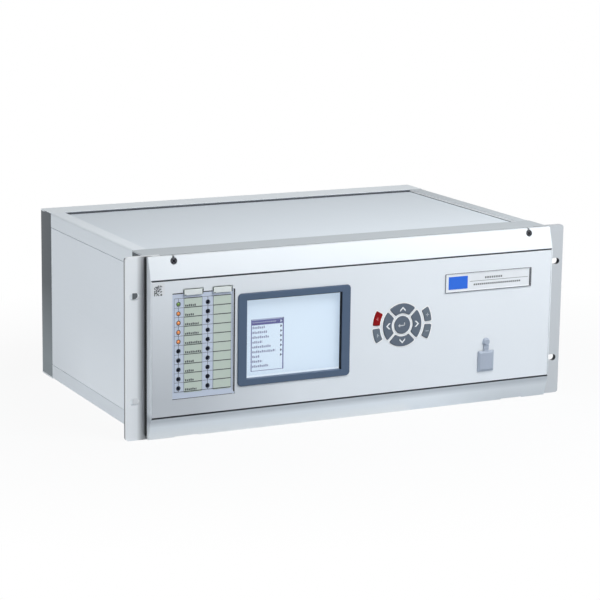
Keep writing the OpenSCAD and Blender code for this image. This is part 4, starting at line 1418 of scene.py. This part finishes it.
@dataclass
class Keypad:
    """Nine keys, their printed rims and their signs.

    The ring and the arc are inner and outer radii, the ring's gap is half the space between two of its
    keys, and a key's edges end in corners of the given radius.
    """

    middle: Sequence[float] = (47.8, MID_Z + 2.2)
    names: Sequence[str] = ("enter", "up", "down", "left", "right", "red", "back", "plus", "minus")
    round_key: float = 8.8
    ring: Sequence[float] = (12.0, 21.5)
    ring_gap: float = 1.55
    arc: Sequence[float] = (25.4, 33.0)
    corner: float = 1.0
    rim: Sequence[float] = (1.3, 0.25)
    sign_y: Sequence[float] = (-12.8, -13.06)
    sign_reach: float = 29.2
    sign_angle: float = 16.5

    def outline(self, name: str, grow: float, n: int = 14) -> Array:
        """Outline of a key on the panel: two arcs joined by round corners, or a circle.

        Args:
            name: The key's name.
            grow: Growth beyond the key's own edge.
            n: Steps along each arc.

        Returns:
            Points (x, z), counterclockwise.
        """
        if name == "enter":
            return (self.round_key + grow) * circle(4 * n) + np.array(self.middle)
        if name in ARROW_KEYS:
            (r0, r1), gap, ends = self.ring, self.ring_gap, (ARROW_KEYS[name] - 45, ARROW_KEYS[name] + 45)
        else:
            (r0, r1), gap, ends = self.arc, 0.0, CURVED_KEYS[name]
        a0, a1 = map(math.radians, ends)
        c, v = self.corner, gap + self.corner
        u0, u1 = math.sqrt((r0 + c) ** 2 - v * v), math.sqrt((r1 - c) ** 2 - v * v)
        d0, d1 = math.atan2(v, u0), math.atan2(v, u1)

        def bend(u: float, side: float, start: float, stop: float) -> Array:
            """One round corner.

            Args:
                u: Distance of its centre from the keypad's middle, along the key's straight edge.
                side: 1 at the edge where the key's angles start and -1 where they end.
                start: Angle from that edge where the corner starts.
                stop: Angle where it ends.

            Returns:
                Points (x, z) about the keypad's middle.
            """
            t = np.linspace(start, stop, 6)
            base = a0 if side > 0 else a1
            local = np.stack([u + (c + grow) * np.cos(t), side * v + (c + grow) * np.sin(t)], 1)
            turn = np.array([[math.cos(base), math.sin(base)], [-math.sin(base), math.cos(base)]])
            return local @ turn

        outer = np.linspace(a0 + d1, a1 - d1, n)[1:-1]
        inner = np.linspace(a1 - d0, a0 + d0, n)[1:-1]
        parts = [
            bend(u1, 1, -math.pi / 2, d1),
            (r1 + grow) * np.stack([np.cos(outer), np.sin(outer)], 1),
            bend(u1, -1, -d1, math.pi / 2),
            bend(u0, -1, math.pi / 2, math.pi - d0),
            (r0 - grow) * np.stack([np.cos(inner), np.sin(inner)], 1),
            bend(u0, 1, math.pi + d0, 1.5 * math.pi),
        ]
        return np.vstack(parts) + np.array(self.middle)

    def chevron(self, angle: float, reach: float = 17.0, size: float = 3.1, width: float = 1.3) -> Mesh:
        """An open arrowhead: a line of even width with one right-angled bend, pointing outwards."""
        a = np.array([[-size, -size], [0, 0], [-size, size]]) + np.array([reach + size / 2, 0])
        b = a - np.array([width * 1.414, 0])
        t = math.radians(angle)
        turn = np.array([[math.cos(t), math.sin(t)], [-math.sin(t), math.cos(t)]])
        a, b = (line @ turn + np.array(self.middle) for line in (a, b))
        back, front = self.sign_y
        made = grid(carried([(a, back), (a, front), (b, front), (b, back)], 1), closed=True)
        made.faces += [(0, 1, 2, 3), (8, 9, 10, 11)]
        return made

    def strokes(self, name: str, x: float, z: float) -> list[tuple[float, ...]]:
        """Bars (x0, x1, z0, z1) of a curved key's sign about (x, z), or of the round key's arrow."""
        return {
            "plus": [(x - 1.8, x + 1.8, z - 0.4, z + 0.4), (x - 0.4, x + 0.4, z - 1.8, z + 1.8)],
            "minus": [(x - 1.8, x + 1.8, z - 0.4, z + 0.4)],
            "red": [(x - 0.4, x + 0.4, z - 1.7, z + 1.7), (x - 1.6, x - 0.4, z - 0.4, z + 0.4)],
            "back": [(x - 0.5, x + 0.5, z - 1.8, z + 1.8), (x + 0.5, x + 1.6, z - 0.4, z + 0.4)],
            "enter": [(x - 3.2, x + 2.6, z - 0.9, z + 0.1), (x + 1.6, x + 2.6, z - 0.9, z + 2.4)],
        }[name]

    def signs(self) -> None:
        """Builds the pale signs on the keys."""
        white = Ink("key_sign_white", (0.86, 0.88, 0.90)).make()
        grey = Ink("key_sign_grey", (0.42, 0.46, 0.50)).make()
        pink = Ink("key_sign_pink", (0.58, 0.16, 0.16)).make()
        for name, angle in ARROW_KEYS.items():
            build(f"sign_{name}", self.chevron(angle), white, "key_" + name)
        turn, (x0, z0) = self.sign_angle, self.middle
        for name, angle in {"plus": turn, "minus": -turn, "red": 180 - turn, "back": 180 + turn}.items():
            a = math.radians(angle)
            bits = self.strokes(name, x0 + self.sign_reach * math.cos(a), z0 + self.sign_reach * math.sin(a))
            slot, ink = ("key_stop", pink) if name == "red" else ("key_grey", grey)
            build(f"sign_{name}", bars(bits, *self.sign_y), ink, "key_" + name)
        head = np.array([[x0 - 5.0, z0 - 0.4], [x0 - 2.8, z0 - 2.2], [x0 - 2.8, z0 + 1.4]])
        mesh = bars(self.strokes("enter", x0, z0), *self.sign_y) + raised(head, *self.sign_y)
        soft = Ink("key_sign_soft", (0.60, 0.63, 0.66)).make()
        build("sign_enter", mesh, soft, "key_enter")

    def rims(self) -> None:
        """Builds the white rims printed round the keys."""
        white = Ink("key_rim_white", (0.97, 0.985, 1.0)).make()
        mesh = Mesh()
        for name in self.names:
            outer, inner = (self.outline(name, grow) for grow in self.rim)
            mesh = mesh + band(outer, inner, *printed(FRONT_FACE, 0.06))
        build("key_rims", mesh, white, "door")

    def make(self) -> None:
        """Rounds and dresses the keys, then builds rims and signs."""
        blue = Moulded("key_slate", (0.115, 0.145, 0.19), roughness=0.45, grain=0.1, specular=0.3).make()
        grey = Moulded("key_grey_blue", (0.14, 0.175, 0.215), roughness=0.45, grain=0.1, specular=0.3).make()
        red = Moulded("key_red_cap", (0.27, 0.003, 0.005), roughness=0.5, grain=0.1, specular=0.15).make()
        for name in self.names:
            tone = red if name == "red" else grey if name in CURVED_KEYS else blue
            softened("key_" + name, 0.35, tone)
        self.rims()
        self.signs()


@dataclass
class PanelMarks:
    """Nameplate and small code label, both kept generic.

    A row of dashes is given by its first and last x, step, length, lowest and highest z.
    """

    plate_x: Sequence[float] = (95.7, 196.1)
    plate_z: Sequence[float] = (MID_Z + 30.2, MID_Z + 49.7)
    plate_front: float = -12.9
    recess_y: float = -12.5
    field: Sequence[float] = (99.5, 121.5, 121.8, 134.8)
    rule: Sequence[float] = (124.0, 192.0, 128.5, 128.95)
    upper_dashes: Sequence[float] = (141.5, 160.0, 2.6, 1.9, 130.6, 132.6)
    lower_dashes: Sequence[float] = (128.5, 183.0, 2.4, 1.8, 124.4, 126.1)
    label: Sequence[float] = (-219.4, -206.9, 141.3, 153.0)
    code_corner: Sequence[float] = (-217.6, 140.9)
    code_cells: Sequence[int] = (9, 11)
    code_pitch: float = 0.9
    code_square: float = 0.86

    def nameplate(self) -> None:
        """Builds a dark border, with painted shade as a thicker dark bar inside its right side, a plain blue
        field, a rule and two rows of dashes.
        """
        ink = Ink("nameplate_ink", (0.10, 0.105, 0.12)).make()
        blue = Ink("nameplate_blue", (0.014, 0.14, 0.72)).make()
        (x0, x1), (z0, z1), front = self.plate_x, self.plate_z, self.plate_front
        outer = rounded((x0 - 0.02, x1 + 0.02), (z0 - 0.02, z1 + 0.02), 0.8)
        inner = rounded((x0 + 0.6, x1 - 0.6), (z0 + 0.6, z1 - 0.6), 0.5)
        border = band(outer, inner, front + 0.3, front - 0.04)
        # Painted shade: a thicker dark bar inside the border's right side.
        edge = bars([(x1 - 2.3, x1 - 0.7, z0 + 0.7, z1 - 0.7)], front + 0.45, front - 0.05)
        build("nameplate_border", border + edge, ink, "door")
        marks: list[Sequence[float]] = []
        for start, stop, step, length, low, high in (self.upper_dashes, self.lower_dashes):
            marks += [(a, a + length, low, high) for a in np.arange(start, stop, step)]
        marks.append(self.rule)
        grey = Ink("nameplate_grey", (0.16, 0.17, 0.18)).make()
        y = printed(self.recess_y)
        build("nameplate_marks", bars(marks, *y), grey, "door")
        build("nameplate_field", bars([self.field], *y), blue, "door")

    def code_label(self) -> None:
        """Builds the label and its squares.

        Cell (i, j) is filled where the fraction of 43758.5453 sin(12.9898 i + 78.233 j) is below 0.55.
        """
        white = Ink("code_label_white", (0.80, 0.83, 0.86)).make()
        black = Ink("code_label_grey", (0.11, 0.12, 0.13)).make()
        base = bars([self.label], FRONT_FACE + 0.05, FRONT_FACE - 0.08)
        build("code_label", base, white, "door")
        i, j = np.meshgrid(*(np.arange(n) for n in self.code_cells))
        keep = np.mod(np.sin(12.9898 * i + 78.233 * j) * 43758.5453, 1.0) < 0.55
        a, b = (s + self.code_pitch * k[keep] for s, k in zip(self.code_corner, (i, j)))
        cells = np.stack([a, a + self.code_square, b, b + self.code_square], 1)
        build("code_label_squares", bars(cells, FRONT_FACE, FRONT_FACE - 0.12), black, "door")

    def make(self) -> None:
        """Builds the marks of nameplate and label."""
        self.nameplate()
        self.code_label()


@dataclass
class ServicePort:
    """Socket behind its rubber flap, with the strap's button."""

    def make(self) -> None:
        """Rounds and dresses the rubber pieces and the socket."""
        rubber = Moulded("port_cover_rubber", (0.40, 0.455, 0.55), roughness=0.5, grain=0.12).make()
        softened("port_cover", 0.7, rubber)
        softened("cover_strap", 0.4, rubber)
        dress(Plated("socket_shell", (0.62, 0.64, 0.66)).make(), "port_socket")


@dataclass
class RibbonLead:
    """Flat lead from the panel's board to the backplane."""

    x: Sequence[float] = (5.0, 49.0)
    legs_y: Sequence[float] = (6.0, 12.8)
    foot_z: float = 17.5
    plug_z: float = 96.0
    half_thick: float = 0.45
    wires: int = 34
    blend_y: Sequence[float] = (12.3, 6.5)
    front_plug_y: Sequence[float] = (0.3, 6.9)
    rear_plug_y: Sequence[float] = (11.9, 25.3)

    def strip(self) -> Mesh:
        """The cable: one leg down, a half circle and one leg up, ridged once for each wire.

        With s along the way and u across it, a point is the middle line at s moved along its normal by
        half the thickness times (0.7 + 0.3 |sin(pi u / pitch)|), on one side and then on the other.
        """
        front, rear = self.legs_y
        r, mid_y = (rear - front) / 2, (front + rear) / 2
        leg = np.linspace(self.plug_z, self.foot_z, 16)
        n = len(leg) - 1
        turn = np.linspace(0, -math.pi, 29)
        y = np.concatenate([np.full(n, rear), mid_y + r * np.cos(turn), np.full(n, front)])
        z = np.concatenate([leg[:-1], self.foot_z + r * np.sin(turn), leg[-2::-1]])
        angle = np.concatenate([np.zeros(n), turn, np.full(n, -math.pi)])
        u = np.linspace(0, 1, self.wires * 4 + 1)
        half = self.half_thick * (0.7 + 0.3 * np.abs(np.sin(math.pi * self.wires * u)))
        across = self.x[0] + (self.x[1] - self.x[0]) * u
        x = np.concatenate([across, across[::-1]])
        side = np.concatenate([half, -half[::-1]])
        rows = [
            np.broadcast_to(x, (len(y), len(x))),
            y[:, None] + np.cos(angle)[:, None] * side,
            z[:, None] + np.sin(angle)[:, None] * side,
        ]
        made = grid(np.stack(rows, -1), closed=True)
        n = len(x)
        made.faces += [tuple(range(n)), tuple(range((len(y) - 1) * n, len(y) * n))]
        return made

    def plug(self, y: Sequence[float]) -> Mesh:
        """A closed connector body with rounded ends and a chamfered face, from y[0] to y[1]."""
        outline = rounded((self.x[0] - 1, self.x[1] + 1), (self.plug_z - 3, self.plug_z + 3), 0.8, 4)
        made = raised(outline, y[1], y[0], 0.4)
        made.faces.append(tuple(range(len(outline))))
        return made

    def make(self) -> None:
        """Builds the lead between its two connectors."""
        lead = build("ribbon_cable", self.strip(), RibbonFinish().make(), None, smooth=True)
        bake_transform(lead)
        grey = Moulded("connector_grey", (0.20, 0.21, 0.22), roughness=0.5, grain=0.15).make()
        plugs = [build("ribbon_plug_front", self.plug(self.front_plug_y), grey, "door")]
        plugs.append(build("ribbon_plug_rear", self.plug(self.rear_plug_y), grey, "chassis"))
        for piece in (lead, *plugs):
            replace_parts(piece, "ribbon_lead")


def main() -> None:
    """Builds every sub-assembly in order."""
    logging.basicConfig(level=logging.INFO, format="%(name)s: %(message)s")
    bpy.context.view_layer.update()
    for part in (
        Studio(),
        Chassis(),
        RearModules(),
        PanelCase(),
        Display(),
        LightPanel(),
        Keypad(),
        PanelMarks(),
        ServicePort(),
        RibbonLead(),
    ):
        part.make()
    bpy.context.scene.view_settings.view_transform = "Standard"


if __name__ == "__main__":
    main()
